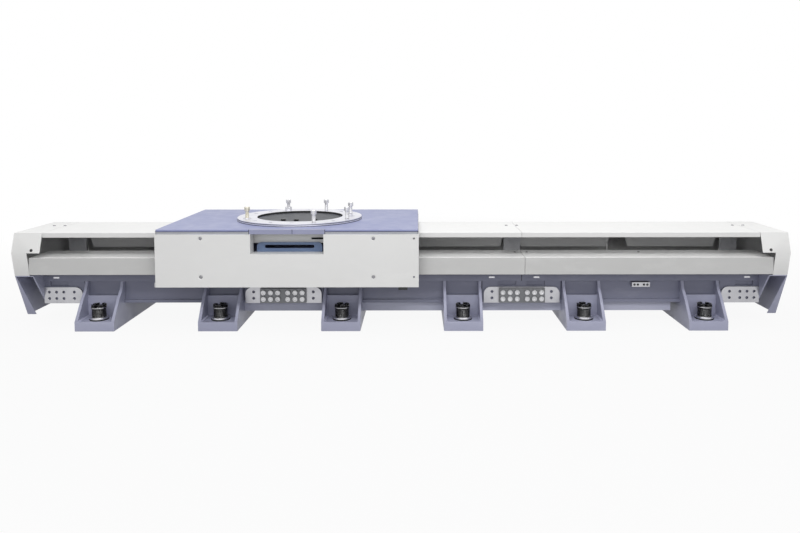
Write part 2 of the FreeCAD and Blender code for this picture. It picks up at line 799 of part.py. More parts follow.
def pinion():
    module = size("tooth_module")
    teeth = int(size("pinion_teeth"))
    radius = module * teeth / 2
    base = radius * math.cos(PRESSURE_ANGLE)
    tip = radius + ADDENDUM * module
    root = radius - DEDENDUM * module
    half_tooth = (math.pi * module / 4 - size("tooth_play") / 4) / radius
    rest = size("carriage_rest")
    pitch = math.pi * module
    meshed = (math.ceil(rest / pitch) * pitch - rest) / radius
    corners = []
    for number in range(teeth):
        middle = math.pi / 2 - meshed + (number + 0.5) * 2 * math.pi / teeth
        flank = [(root, half_tooth + involute(base, radius))]
        for step in range(FLANK_STEPS + 1):
            at = base + (tip - base) * step / FLANK_STEPS
            flank.append((at, half_tooth + involute(base, radius) - involute(base, at)))
        corners += [(r * math.cos(middle - a), r * math.sin(middle - a)) for r, a in flank]
        corners += [(r * math.cos(middle + a), r * math.sin(middle + a)) for r, a in reversed(flank)]
    low = size("beam_rise") + size("beam_height") + size("pinion_lift")
    high = low + size("pinion_width")
    gear = extruded(corners, low, high)
    pilot = size("beam_rise") + size("beam_height") + size("block_height")
    turns = [2 * math.pi * i / ROUND_SIDES for i in range(ROUND_SIDES)]
    outline = [(size("shaft_radius") * math.cos(t), size("shaft_radius") * math.sin(t)) for t in turns]
    shaft = extruded(outline, high, pilot - size("shaft_gap"))
    made = tooth_feature("drive_pinion", gear.fuse(shaft).removeSplitter())
    made.Placement = Placement(Vector(rest, -size("pinion_offset"), 0), Rotation())
    return made


rack()
pinion()


# Top, front and rear covers, with the posts and spacers that carry them


def top_cover(side, place):
    part = body("top_cover_" + side)
    low = "(top_cover_height - top_cover_lip)"
    under = "(top_cover_height - cover_sheet)"
    section = [
        ("-top_cover_front", low), ("-top_cover_front + cover_sheet", low),
        ("-top_cover_front + cover_sheet", under), ("top_cover_back - cover_sheet", under),
        ("top_cover_back - cover_sheet", low), ("top_cover_back", low),
        ("top_cover_back", "top_cover_height"), ("-top_cover_front", "top_cover_height"),
    ]
    pad(part, "X", [section], *across("top_cover_length - cover_gap"))
    bind(part, "Placement.Base.x", f"{place} * top_cover_length")
    return keep(part, part.Name)


def side_section(height):
    """A sheet channel, open to the middle: outer wall, top and lower flange, on the +Y side."""
    inner = "(side_reach - side_sheet)"
    foot = f"({FLANGE} - spacer_depth)"
    return [
        (foot, "side_bottom"), ("side_reach", "side_bottom"), ("side_reach", height), ("side_inner", height),
        ("side_inner", f"{height} - side_sheet"), (inner, f"{height} - side_sheet"),
        (inner, "side_bottom + side_sheet"), (foot, "side_bottom + side_sheet"),
    ]


COVER_END = f"({TRACK_HALF} + end_length - end_step)"


def front_cover(side, place):
    part = body("front_cover_" + side)
    section = [(f"-({y})", z) for y, z in side_section("front_cover_height")]
    flange = rectangle(("-side_inner - side_sheet", "-side_inner"),
                       ("front_cover_height - front_flange", "front_cover_height - side_sheet"))
    low = f"-{COVER_END} + cover_gap / 2" if place < 0 else f"({place} - 0.5) * module_length + cover_gap / 2"
    high = f"{COVER_END} - cover_gap / 2" if place > 0 else f"({place} + 0.5) * module_length - cover_gap / 2"
    pad(part, "X", [section], low, high)
    pad(part, "X", [flange], low, high)
    return keep(part, part.Name)


def rear_cover(number):
    part = body(f"rear_cover_{number + 1}")
    low = f"({number - 3} * rear_cover_length + cover_gap / 2)"
    high = f"({number - 2} * rear_cover_length - cover_gap / 2)"
    outer_low = f"(-{COVER_END} + cover_gap / 2)" if number == 0 else low
    outer_high = f"({COVER_END} - cover_gap / 2)" if number == 5 else high
    pad(part, "X", [side_section("rear_cover_height")], outer_low, outer_high)
    under = "(rear_cover_height - side_sheet)"
    free = "(rear_cover_height - rear_flange)"
    flange = [
        (f"{low} + rear_flange_inset", under),
        (f"{low} + rear_flange_inset + rear_flange_slant", free),
        (f"{high} - rear_flange_inset - rear_flange_slant", free),
        (f"{high} - rear_flange_inset", under),
    ]
    pad(part, "Y", [flange], "side_inner", "side_inner + side_sheet")
    return keep(part, part.Name)


for side, place in MODULES:
    top_cover(side, place)
for side, place in MODULES:
    front_cover(side, place)
for number in range(6):
    rear_cover(number)

SPACER_PLACES = [f"({share} * module_length)" for share in (-1.44, -1, -0.54, -0.46, 0, 0.46, 0.54, 1, 1.44)]


def spacers():
    made = []
    for y in ((f"-{FLANGE}", f"-{FLANGE} + spacer_depth"), (f"{FLANGE} - spacer_depth", FLANGE)):
        for x in SPACER_PLACES:
            span = (f"{x} - spacer_length / 2", f"{x} + spacer_length / 2")
            made.append(box("cover_spacer", span, y, (TOP, "side_bottom")))
    return made


def cover_post():
    part = body("cover_post_form")
    under = "(top_cover_height - cover_sheet)"
    back = "(post_back + post_sheet)"
    section = [
        ("post_back", TOP), ("post_back + post_foot", TOP), ("post_back + post_foot", f"{TOP} + post_sheet"),
        (back, f"{TOP} + post_sheet"), (back, under), ("-post_reach", under),
        ("-post_reach", f"{under} - post_sheet"), ("post_back", f"{under} - post_sheet"),
    ]
    pad(part, "X", [section], *across("post_width"))
    return part


SEAMS = [f"({share} * top_cover_length)" for share in (-1.5, -0.5, 0.5, 1.5)]
post_form = cover_post()
group("cover_spacers", spacers())
group("cover_posts", [copy(post_form, x) for x in SEAMS])


# End caps, thin shells with a nose in front and behind, and the end frames that they stand on

TRACK_END = f"({TRACK_HALF} + end_length)"


def end_cap():
    part = body("end_cap_right")
    start = "(1.5 * top_cover_length)"
    outline = [
        ("-top_cover_front", "top_cover_height"), ("-end_nose_reach", "end_nose_height"),
        ("-end_foot_reach", "end_cap_bottom"), ("end_foot_reach", "end_cap_bottom"),
        ("end_nose_reach", "end_nose_height"), ("side_reach", "end_shoulder_height"),
        ("top_cover_back", "top_cover_height"),
    ]
    block = pad(part, "X", [outline], start, TRACK_END)
    doc.recompute()
    first_x = 1.5 * size("top_cover_length")
    bottom = size("end_cap_bottom")
    open_faces = [f"Face{i}" for i, face in enumerate(block.Shape.Faces, start=1)
                  if abs(face.CenterOfMass.x - first_x) < 1e-3 or abs(face.CenterOfMass.z - bottom) < 1e-3]
    shell = part.newObject("PartDesign::Thickness", "end_cap_shell")
    shell.Base = (block, open_faces)
    shell.Reversed = True
    shell.Join = 1
    bind(shell, "Value", "cover_sheet")
    far = "(end_nose_reach + 50)"
    low = "(end_cap_bottom - 1)"
    under = "(end_shoulder_height - cover_sheet)"
    clear = [rectangle((f"-{far}", "-1"), (low, "end_nose_height")), rectangle(("1", far), (low, under))]
    pocket(part, "X", clear, start, COVER_END)
    return part


def end_frame():
    part = body("end_frame_right")
    roof = "(end_cap_bottom - end_plate_sheet)"
    bracket = both_sides([
        ("end_bracket_foot", "beam_rise"), ("end_bracket_foot", "end_bracket_height"),
        ("end_foot_reach - end_plate_sheet", roof),
    ])
    pad(part, "X", [bracket], TRACK_HALF, f"{TRACK_HALF} + end_bracket_sheet")
    inside = f"({TRACK_END} - end_plate_sheet)"
    lid = rectangle(("-end_foot_reach", "end_foot_reach"), (roof, "end_cap_bottom"))
    pad(part, "X", [lid], TRACK_HALF, inside)
    plate = both_sides([("end_plate_foot", "end_plate_bottom"), ("end_foot_reach", "end_cap_bottom")])
    pad(part, "X", [plate], inside, TRACK_END)
    strip = [
        ("-end_foot_reach", "end_cap_bottom"), ("-end_plate_foot", "end_plate_bottom"),
        ("-end_plate_foot + end_plate_sheet", "end_plate_bottom"),
        ("-end_foot_reach + end_plate_sheet", "end_cap_bottom"),
    ]
    pad(part, "X", [strip], f"{inside} - end_flange", inside)
    taper = [(f"{inside} - end_flange", "end_plate_bottom"), (inside, roof), (f"{inside} - end_flange", roof)]
    pocket(part, "Y", [taper], "-end_foot_reach - 1", "-end_plate_foot + end_plate_sheet + 1")
    return part


cap = end_cap()
frame = end_frame()
keep(mirrored(cap, "end_cap_left", Vector(1, 0, 0)), "end_cap_left")
keep(cap, "end_cap_right")
keep(mirrored(frame, "end_frame_left", Vector(1, 0, 0)), "end_frame_left")
keep(frame, "end_frame_right")


# Carriage arms, which leave the housing by its two slots


def on_carriage(part):
    bind(part, "Placement.Base.x", "carriage_rest")
    return keep(part, part.Name)


def front_arm():
    part = body("front_arm")
    near = "-arm_riser_near"
    far = "(-arm_riser_near - arm_riser)"
    inner = f"(-{FRONT} + arm_post)"
    section = [
        (f"-{BLOCK_OUTER}", BLOCK_TOP), (near, BLOCK_TOP), (near, SHELF_TOP), (inner, SHELF_TOP),
        (inner, PLATE_BOTTOM), (f"-{FRONT}", PLATE_BOTTOM), (f"-{FRONT}", "arm_post_bottom"),
        (inner, "arm_post_bottom"), (inner, SHELF), (far, SHELF), (far, f"{BLOCK_TOP} + arm_base"),
        (f"-{BLOCK_OUTER}", f"{BLOCK_TOP} + arm_base"),
    ]
    pad(part, "X", [section], *across("arm_length"))
    window = rectangle(across("arm_window"), (SHELF_TOP, f"{PLATE_BOTTOM} + 1"))
    pocket(part, "Y", [window], f"-{FRONT}", inner)
    tongue = rectangle(across("tongue_width"), (near, "tongue_back"))
    base = (BLOCK_TOP, f"{BLOCK_TOP} + arm_base")
    pad(part, "Z", [tongue], *base)
    prism(part, "Subtractive", "Z", ("0", "-pinion_offset"), "pilot_radius + pilot_fit", *base)
    return on_carriage(part)


def rear_arm():
    part = body("rear_arm")
    near = "arm_riser_near"
    far = "(arm_riser_near + arm_riser)"
    inner = f"({FRONT} - arm_post)"
    roof = f"({PLATE_BOTTOM} - arm_roof)"
    section = [
        (near, BLOCK_TOP), (BLOCK_OUTER, BLOCK_TOP), (BLOCK_OUTER, f"{BLOCK_TOP} + arm_base"),
        (far, f"{BLOCK_TOP} + arm_base"), (far, roof), (inner, roof), (inner, "arm_post_bottom"),
        (FRONT, "arm_post_bottom"), (FRONT, PLATE_BOTTOM), (near, PLATE_BOTTOM),
    ]
    pad(part, "X", [section], *across("arm_length"))
    rib = rectangle((far, inner), (f"{roof} - arm_rib_drop", roof))
    for place in (-1.5, -0.5, 0.5, 1.5):
        pad(part, "X", [rib], f"{place} * arm_rib_spacing - arm_rib / 2", f"{place} * arm_rib_spacing + arm_rib / 2")
    return on_carriage(part)


front_arm()
rear_arm()


# Gearbox and motor, on the front arm's tongue


def drive_edges(edge, axis):
    return runs_along(edge, axis) and abs(edge.CenterOfMass.y + size("pinion_offset")) > size("motor_width") / 3


def gearbox():
    part = body("gearbox")
    square = rectangle(across("gearbox_width"), ("-pinion_offset - gearbox_width / 2", "-pinion_offset + gearbox_width / 2"))
    housing = pad(part, "Z", [square], GEARBOX_FOOT, f"{GEARBOX_FOOT} + gearbox_height")
    chamfer(part, housing, "drive_corner", lambda edge: drive_edges(edge, "z"))
    prism(part, "Additive", "Z", ("0", "-pinion_offset"), "pilot_radius", BLOCK_TOP, GEARBOX_FOOT)
    return on_carriage(part)


def motor():
    part = body("drive_motor")
    middle = f"({GEARBOX_FOOT} + gearbox_height / 2)"
    start = "gearbox_width / 2"
    steps = [
        ("adapter_width", start, f"{start} + adapter_length"),
        ("motor_width", f"{start} + adapter_length", f"{start} + adapter_length + motor_length"),
        ("(motor_width - 2 * motor_cap_step)", f"{start} + adapter_length + motor_length",
         f"{start} + adapter_length + motor_length + motor_cap_length"),
    ]
    for width, low, high in steps:
        square = rectangle((f"-pinion_offset - {width} / 2", f"-pinion_offset + {width} / 2"),
                           (f"{middle} - {width} / 2", f"{middle} + {width} / 2"))
        last = pad(part, "X", [square], low, high)
    chamfer(part, last, "drive_corner", lambda edge: drive_edges(edge, "x"))
    return on_carriage(part)


gearbox()
motor()


# Carriage plates, and the bars that close the notch in their front edge


def carriage_plate(name, low, high):
    part = body(name)
    outline = [
        ("-carriage_length / 2", f"-{FRONT}"), ("-notch_length / 2", f"-{FRONT}"),
        ("-notch_length / 2", f"-{FRONT} + bar_depth + bar_gap"), ("notch_length / 2", f"-{FRONT} + bar_depth + bar_gap"),
        ("notch_length / 2", f"-{FRONT}"), ("carriage_length / 2", f"-{FRONT}"),
        ("carriage_length / 2", FRONT), ("-carriage_length / 2", FRONT),
    ]
    slab = pad(part, "Z", [outline], low, high)
    corner = size("carriage_length") / 2 - 1
    chamfer(part, slab, "carriage_corner", lambda edge: runs_along(edge, "z") and abs(edge.CenterOfMass.x) > corner)
    return on_carriage(part)


carriage_plate("carriage_base_plate", PLATE_BOTTOM, f"{PLATE_BOTTOM} + carriage_steel")
carriage_plate("carriage_plate", f"{PLATE_BOTTOM} + carriage_steel", PLATE_TOP)

BAR_SPANS = (("carriage_rest - notch_length / 2 + bar_gap", "carriage_rest + bar_split - bar_gap"),
             ("carriage_rest + bar_split + bar_gap", "carriage_rest + notch_length / 2 - bar_gap"))
group("notch_bars", [box("notch_bar", span, (f"-{FRONT}", f"-{FRONT} + bar_depth"), (PLATE_BOTTOM, PLATE_TOP))
                     for span in BAR_SPANS])


# Panels, window frame, and the stay and guard behind the window

PANEL_FACE = f"({FRONT} + panel_sheet)"
PANEL_TOP = f"({PLATE_BOTTOM} - panel_gap)"
PANEL_HALF = "(carriage_length / 2 + panel_over)"


def panel(name, with_window):
    part = body(name)
    sheet_outline = rectangle((f"-{PANEL_HALF}", PANEL_HALF), ("panel_bottom", PANEL_TOP))
    fold = [
        (f"-{PANEL_HALF}", "panel_bottom"), (PANEL_HALF, "panel_bottom"), (PANEL_HALF, PANEL_TOP),
        (f"{PANEL_HALF} - panel_sheet", PANEL_TOP), (f"{PANEL_HALF} - panel_sheet", "panel_bottom + panel_sheet"),
        (f"-{PANEL_HALF} + panel_sheet", "panel_bottom + panel_sheet"), (f"-{PANEL_HALF} + panel_sheet", PANEL_TOP),
        (f"-{PANEL_HALF}", PANEL_TOP),
    ]
    pad(part, "Y", [sheet_outline], f"-{PANEL_FACE}", f"-{FRONT}")
    pad(part, "Y", [fold], f"-{FRONT}", f"-{FRONT} + panel_flange")
    if with_window:
        window = rectangle(across("window_length"), (f"{SHELF_TOP} + window_sheet", f"{PANEL_TOP} + 1"))
        pocket(part, "Y", [window], f"-{PANEL_FACE} - 1", f"-{FRONT}")
        for height in ("panel_hole_low", "panel_hole_high"):
            centre = ("panel_hole_side", f"panel_bottom + {height}")
            prism(part, "Subtractive", "Y", centre, "panel_hole_radius", f"-{PANEL_FACE}", f"-{FRONT}")
    return part


on_carriage(panel("front_panel", True))
rear_panel = panel("rear_panel", False)
rear_panel.Placement = Placement(Vector(), HALF_TURN)
on_carriage(rear_panel)


def window_frame():
    part = body("window_frame")
    outer = f"({HALF_WINDOW} + window_sheet)"
    section = [
        (f"-{outer}", SHELF_TOP), (outer, SHELF_TOP), (outer, PLATE_BOTTOM), (HALF_WINDOW, PLATE_BOTTOM),
        (HALF_WINDOW, f"{SHELF_TOP} + window_sheet"), (f"-{HALF_WINDOW}", f"{SHELF_TOP} + window_sheet"),
        (f"-{HALF_WINDOW}", PLATE_BOTTOM), (f"-{outer}", PLATE_BOTTOM),
    ]
    pad(part, "Y", [section], f"-{FRONT}", f"-{FRONT} + window_depth")
    return on_carriage(part)


def slotted_stay():
    part = body("slotted_stay")
    outline = rectangle(across("loop_length"), (SHELF_TOP, f"{SHELF_TOP} + loop_height"))
    slot_low = f"({SHELF_TOP} + loop_foot)"
    bar = pad(part, "Y", [outline], f"-{LOOP_FRONT}", f"-{LOOP_FRONT} + loop_thickness")
    top = size("front_cover_height") + size("arm_shelf_gap") + size("arm_shelf") + size("loop_height")
    rounded = fillet(part, bar, "loop_height * 0.45",
                     lambda edge: runs_along(edge, "y") and edge.CenterOfMass.z > top - 1)
    slot = rectangle(("-loop_length / 2 + loop_end", "loop_length / 2 - loop_end"), (slot_low, f"{slot_low} + loop_slot"))
    opened = pocket(part, "Y", [slot], f"-{LOOP_FRONT}", f"-{LOOP_FRONT} + loop_thickness")
    inner = size("loop_length") / 2 - size("loop_end") + 1
    fillet(part, opened, "loop_slot * 0.48",
           lambda edge: runs_along(edge, "y") and abs(edge.CenterOfMass.x) < inner)
    return on_carriage(part)


def inner_guard():
    y = (f"-{LOOP_FRONT} + loop_thickness + 2", f"-{LOOP_FRONT} + loop_thickness + 2 + guard_sheet")
    low = f"({PLATE_BOTTOM} - guard_drop)"
    board = box("guard_board", ("carriage_rest - arm_window / 2", "carriage_rest + arm_window / 2"), y, (low, PLATE_BOTTOM))
    start = "(carriage_rest + guard_slot_start)"
    middle = f"({PLATE_BOTTOM} - guard_drop / 2)"
    slot = box("guard_slot", (start, f"{start} + guard_slot_length"), (f"{y[0]} - 1", f"{y[1]} + 1"),
               (f"{middle} - guard_slot_height", middle))
    return keep(cut("inner_guard", board, slot), "inner_guard")


window_frame()
slotted_stay()
inner_guard()


# Mounting ring, the bolts that stand in it, and the dark cover inside it

BOLT_ANGLES = (22.5, 67.5, 112.5, 202.5, 292.5, 337.5)


def round_the_circle(degrees):
    angle = math.radians(degrees)
    return f"{math.cos(angle):.9f} * bolt_circle / 2", f"{math.sin(angle):.9f} * bolt_circle / 2"


def mounting_ring():
    """Sixteen holes: true bores where the robot is measured, and lighter ones between them."""
    part = body("mounting_ring")
    bores = [(*round_the_circle(90 * number), "bolt_hole_radius") for number in range(4)]
    outline = [("0", "0", "ring_radius"), ("0", "0", "ring_bore")]
    pad(part, "Z", outline + bores, PLATE_TOP, RING_TOP)
    for number in range(16):
        if number % 4:
            prism(part, "Subtractive", "Z", round_the_circle(22.5 * number), "bolt_hole_radius", PLATE_TOP, RING_TOP)
    return on_carriage(part)


def ring_bolt():
    part = body("ring_bolt_form")
    head = f"({PLATE_TOP} + bolt_length)"
    prism(part, "Additive", "Z", ("0", "0"), "bolt_radius", PLATE_TOP, head)
    prism(part, "Additive", "Z", ("0", "0"), "bolt_head_radius", head, f"{head} + bolt_head_height")
    return part


def ring_floor():
    part = body("ring_floor")
    prism(part, "Additive", "Z", ("0", "0"), "ring_bore - floor_gap", PLATE_TOP, f"{PLATE_TOP} + floor_height")
    return on_carriage(part)


mounting_ring()
ring_floor()
bolt_form = ring_bolt()
BOLT_PLACES = [round_the_circle(degrees) for degrees in BOLT_ANGLES]
group("ring_bolts", [copy(bolt_form, f"carriage_rest + {x}", y) for x, y in BOLT_PLACES])

keep(box("sensor_housing",
         ("carriage_rest + sensor_side - sensor_length / 2", "carriage_rest + sensor_side + sensor_length / 2"),
         (f"-{FRONT} + 1", f"-{FRONT} + 1 + sensor_width"),
         ("panel_bottom - sensor_height", "panel_bottom")), "position_sensor")


# Check every object, then write one file for each node

doc.recompute()
for thing in doc.Objects:
    bad = [state for state in thing.State if state in ("Invalid", "Error")]
    if bad:
        raise SystemExit(f"{thing.Name} is {bad}")
for thing in nodes:
    if thing.Shape.isNull() or not thing.Shape.isValid():
        raise SystemExit(f"{thing.Label} has no valid shape")
os.makedirs("parts", exist_ok=True)
for thing in nodes:
    thing.Shape.exportStep(f"parts/{thing.Label}.step")
print(len(nodes), "nodes")
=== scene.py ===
# Robot linear track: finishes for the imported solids, the small fittings that they leave out, and a
# floor, light and camera as in the photograph.
#
# Metres, so a size in millimetres is written times MM. X runs along the track, Y away from the front,
# Z up, as in the CAD.

import json
import math

import bmesh
import bpy
from mathutils import Matrix, Vector


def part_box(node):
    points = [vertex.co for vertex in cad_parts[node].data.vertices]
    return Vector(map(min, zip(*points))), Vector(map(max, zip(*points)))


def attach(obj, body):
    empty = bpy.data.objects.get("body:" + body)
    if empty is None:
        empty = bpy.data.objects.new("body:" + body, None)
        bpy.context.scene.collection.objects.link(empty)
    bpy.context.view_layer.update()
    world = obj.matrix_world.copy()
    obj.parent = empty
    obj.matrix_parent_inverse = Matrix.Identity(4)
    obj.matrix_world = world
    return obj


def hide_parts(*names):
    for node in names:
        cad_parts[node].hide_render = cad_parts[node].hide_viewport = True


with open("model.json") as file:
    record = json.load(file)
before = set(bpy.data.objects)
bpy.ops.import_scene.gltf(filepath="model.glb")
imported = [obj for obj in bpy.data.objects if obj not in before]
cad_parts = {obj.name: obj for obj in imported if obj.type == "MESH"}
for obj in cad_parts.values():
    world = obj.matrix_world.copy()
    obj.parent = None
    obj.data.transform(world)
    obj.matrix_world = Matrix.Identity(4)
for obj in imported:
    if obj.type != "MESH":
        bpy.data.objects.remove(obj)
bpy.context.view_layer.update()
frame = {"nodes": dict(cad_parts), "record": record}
NODES = frame["nodes"]
MM = 0.001


# Places, worked out from the frame
def middle(node):
    """Middle of a node's box."""
    low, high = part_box(node)
    return (Vector(low) + Vector(high)) / 2


def face_of(node, axis, side):
    """Where a node's box ends along an axis: side -1 is the low end, 1 the high one."""
    low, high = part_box(node)
    return (low if side < 0 else high)[axis]


CARRIAGE = middle("carriage_plate").x
PLATE_TOP = face_of("carriage_plate", 2, 1)
RING_TOP = face_of("mounting_ring", 2, 1)
RING_RADIUS = (face_of("mounting_ring", 0, 1) - face_of("mounting_ring", 0, -1)) / 2
JOINT = face_of("beam_middle", 0, 1)
COVER_TOP = face_of("top_cover_middle", 2, 1)
COVER_SEAM = face_of("top_cover_middle", 0, 1)
LAST_SEAM = face_of("top_cover_right", 0, 1)
SIDE_COVER_TOP = face_of("front_cover_middle", 2, 1)
FEET = [middle(f"foot_{n}").x for n in range(1, 7)]

# Sizes of the solids that no node's box shows
BORE_RADIUS = 185 * MM
BOLTS_RADIUS = 232 * MM
SLEEVE_SIDE = 240 * MM
BASE_TOP = 38 * MM


# Finishes
def linear(code):
    """A colour written as six hexadecimal digits, taken through the sRGB curve for the shader."""
    parts = [int(code[i:i + 2], 16) / 255 for i in (0, 2, 4)]
    return tuple(c / 12.92 if c <= 0.04045 else ((c + 0.055) / 1.055) ** 2.4 for c in parts) + (1,)


class Finish:
    """The node tree of one material round a Principled shader."""

    def __init__(self, name, **values):
        self.material = bpy.data.materials.new(name)
        self.material.use_nodes = True
        self.tree = self.material.node_tree
        self.tree.nodes.clear()
        self.shader = self.node("ShaderNodeBsdfPrincipled", **values)
        output = self.node("ShaderNodeOutputMaterial")
        self.join(self.shader.outputs["BSDF"], output.inputs["Surface"])
        self.place = self.node("ShaderNodeTexCoord").outputs["Object"]

    def join(self, source, target):
        """A link from an output to an input."""
        self.tree.links.new(source, target)

    def node(self, kind, settings=None, **values):
        """A node with its settings and its inputs: numbers, colours or another node's output."""
        made = self.tree.nodes.new(kind)
        for key, value in (settings or {}).items():
            setattr(made, key, value)
        for key, value in values.items():
            target = made.inputs[key.replace("_", " ")]
            if isinstance(value, bpy.types.NodeSocket):
                self.join(value, target)
            else:
                target.default_value = value
        return made

    def noise(self, scale, detail=3.0, roughness=0.5, stretch=None):
        """Noise with so many features to the metre, drawn out along the axes of stretch."""
        place = self.place
        if stretch:
            place = self.node("ShaderNodeMapping", Vector=place, Scale=stretch).outputs["Vector"]
        made = self.node("ShaderNodeTexNoise", Vector=place, Scale=scale, Detail=detail,
                         Roughness=roughness)
        return made.outputs["Fac"]

    def between(self, value, low, high, first=0.3, last=0.7):
        """A number from low to high, as value goes from first to last."""
        made = self.node("ShaderNodeMapRange", Value=value, From_Min=first, From_Max=last,
                         To_Min=low, To_Max=high)
        return made.outputs["Result"]

    def blend(self, amount, colour_a, colour_b):
        """From one colour to another."""
        made = self.node("ShaderNodeMix", {"data_type": "RGBA"})
        for socket, value in ((made.inputs[0], amount), (made.inputs[6], colour_a),
                              (made.inputs[7], colour_b)):
            if isinstance(value, bpy.types.NodeSocket):
                self.join(value, socket)
            else:
                socket.default_value = value
        return made.outputs[2]

    def times(self, a, b):
        """The product of two numbers, either of them fixed or another node's output."""
        made = self.node("ShaderNodeMath", {"operation": "MULTIPLY"})
        for socket, value in zip(made.inputs, (a, b)):
            if isinstance(value, bpy.types.NodeSocket):
                self.join(value, socket)
            else:
                socket.default_value = value
        return made.outputs["Value"]

    def edges(self, radius):
        """Near 1 on sharp edges and 0 elsewhere."""
        rounded = self.node("ShaderNodeBevel", {"samples": 4}, Radius=radius)
        plain = self.node("ShaderNodeNewGeometry").outputs["Normal"]
        made = self.node("ShaderNodeVectorMath", {"operation": "DOT_PRODUCT"})
        self.join(rounded.outputs["Normal"], made.inputs[0])
        self.join(plain, made.inputs[1])
        return self.between(made.outputs["Value"], low=1.0, high=0.0, first=0.80, last=0.995)

    def painted_top_light(self):
        """Near 1 on faces that look up and 0 on upright ones: the mask for light painted on tops."""
        normal = self.node("ShaderNodeNewGeometry").outputs["Normal"]
        rise = self.node("ShaderNodeSeparateXYZ", Vector=normal).outputs["Z"]
        return self.between(rise, low=0, high=1, first=0.7, last=0.95)

    def relief(self, height, depth, strength=1.0):
        """Bump from a height between 0 and 1."""
        bump = self.node("ShaderNodeBump", Height=height, Distance=depth, Strength=strength)
        self.join(bump.outputs["Normal"], self.shader.inputs["Normal"])


def paint(name, colour, shade, worn, rough=0.42, grain=650, depth=0.25 * MM, top=None):
    """Powder paint: orange peel, slow changes of tone, faint grime and edges rubbed lighter.

    A colour for top is painted light: it goes on the faces that look up, so that tops show lighter as if
    lit from above.
    """
    f = Finish(name, IOR=1.5)
    tone = f.between(f.noise(scale=1.7, detail=4.0, roughness=0.6), low=0, high=1)
    clouds = f.noise(scale=7.0, detail=6.0, roughness=0.65, stretch=(1, 1, 2.5))
    grime = f.between(clouds, low=0, high=0.35, first=0.5, last=0.75)
    base = f.blend(tone, linear(colour), linear(shade))
    # Painted light: faces that look up take the lighter top colour
    if top:
        base = f.blend(f.painted_top_light(), base, linear(top))
    base = f.blend(f.times(grime, tone), base, linear(worn))
    patches = f.between(f.noise(scale=60.0, detail=4.0, roughness=0.7), low=0.15, high=0.7)
    rub = f.times(f.edges(radius=1.6 * MM), patches)
    f.join(f.blend(rub, base, linear(worn)), f.shader.inputs["Base Color"])
    smears = f.noise(scale=18.0, detail=5.0, roughness=0.6)
    f.join(f.between(smears, low=rough - 0.06, high=rough + 0.08), f.shader.inputs["Roughness"])
    f.relief(f.noise(grain, detail=2.0), depth, strength=0.35)
    return f.material


def metal(name, colour, shade, rough, stretch=(1, 1, 1), grain=240, depth=0.06 * MM, spots=0.15):
    """Ground or rolled steel: a drawn-out grain, darker spots and edges polished by handling."""
    f = Finish(name, Metallic=1.0)
    lines = f.noise(grain, detail=5.0, roughness=0.65, stretch=stretch)
    tone = f.between(f.noise(scale=9.0, detail=5.0, roughness=0.6), low=0, high=1)
    base = f.blend(f.times(tone, f.between(lines, low=0.4, high=1.0)), linear(colour), linear(shade))
    specks = f.noise(scale=130.0, detail=4.0, roughness=0.7)
    spot = f.between(specks, low=0, high=spots, first=0.6, last=0.75)
    base = f.blend(spot, base, linear("4a4a4c"))
    polish = f.times(f.edges(radius=0.9 * MM), 0.6)
    f.join(f.blend(polish, base, linear("f2f2f2")), f.shader.inputs["Base Color"])
    f.join(f.between(lines, low=rough - 0.08, high=rough + 0.10), f.shader.inputs["Roughness"])
    f.relief(lines, depth, strength=0.4)
    return f.material


def rubber(name, colour, shade, rough=0.7):
    """Moulded rubber or plastic: a fine pebble and a bloom of dust."""
    f = Finish(name)
    clouds = f.noise(scale=22.0, detail=5.0, roughness=0.65)
    dust = f.between(clouds, low=0, high=0.5, first=0.45, last=0.8)
    f.join(f.blend(dust, linear(colour), linear(shade)), f.shader.inputs["Base Color"])
    smears = f.noise(scale=40.0)
    f.join(f.between(smears, low=rough - 0.08, high=rough + 0.08), f.shader.inputs["Roughness"])
    f.relief(f.noise(scale=1500.0, detail=2.0), depth=0.15 * MM, strength=0.5)
    return f.material


# The finish for each material slot of the record
FINISHES = {
    "frame_paint": paint("frame_paint", "9a9cb2", "a1a3b8", "c8cad8"),
    "plate_paint": paint("plate_paint", "8187ae", "888eb3", "b0b5d0", rough=0.38),
    # The cover paint's top colour is painted light: its tops are made lighter than its sides
    "cover_paint": paint("cover_paint", "dcdcdb", "d7d7d6", "ececeb", rough=0.40, top="e5e5e4"),
    "grey_paint": paint("grey_paint", "88898e", "929398", "b4b5b9"),
    "blue_paint": paint("blue_paint", "637799", "5a6d8e", "9dabc2", rough=0.34),
    "motor_paint": paint("motor_paint", "2b2d31", "34363a", "6a6c70", rough=0.45),
    "bright_steel": metal("bright_steel", "c2c2c6", "a6a6ab", 0.36, (1, 1, 6)),
    "dark_steel": metal("dark_steel", "4b4c50", "3c3d41", 0.42, (4, 1, 1)),
    "gearbox_metal": metal("gearbox_metal", "b9babc", "a2a3a6", 0.46),
    "bolt_steel": metal("bolt_steel", "d6d6d8", "bcbcc0", 0.30, grain=420),
    "bumper_rubber": rubber("bumper_rubber", "1c1c1d", "3a3a3b"),
    "seal_rubber": rubber("seal_rubber", "232324", "3c3c3e"),
    "sensor_plastic": rubber("sensor_plastic", "1b1c1e", "37383a", 0.5),
}
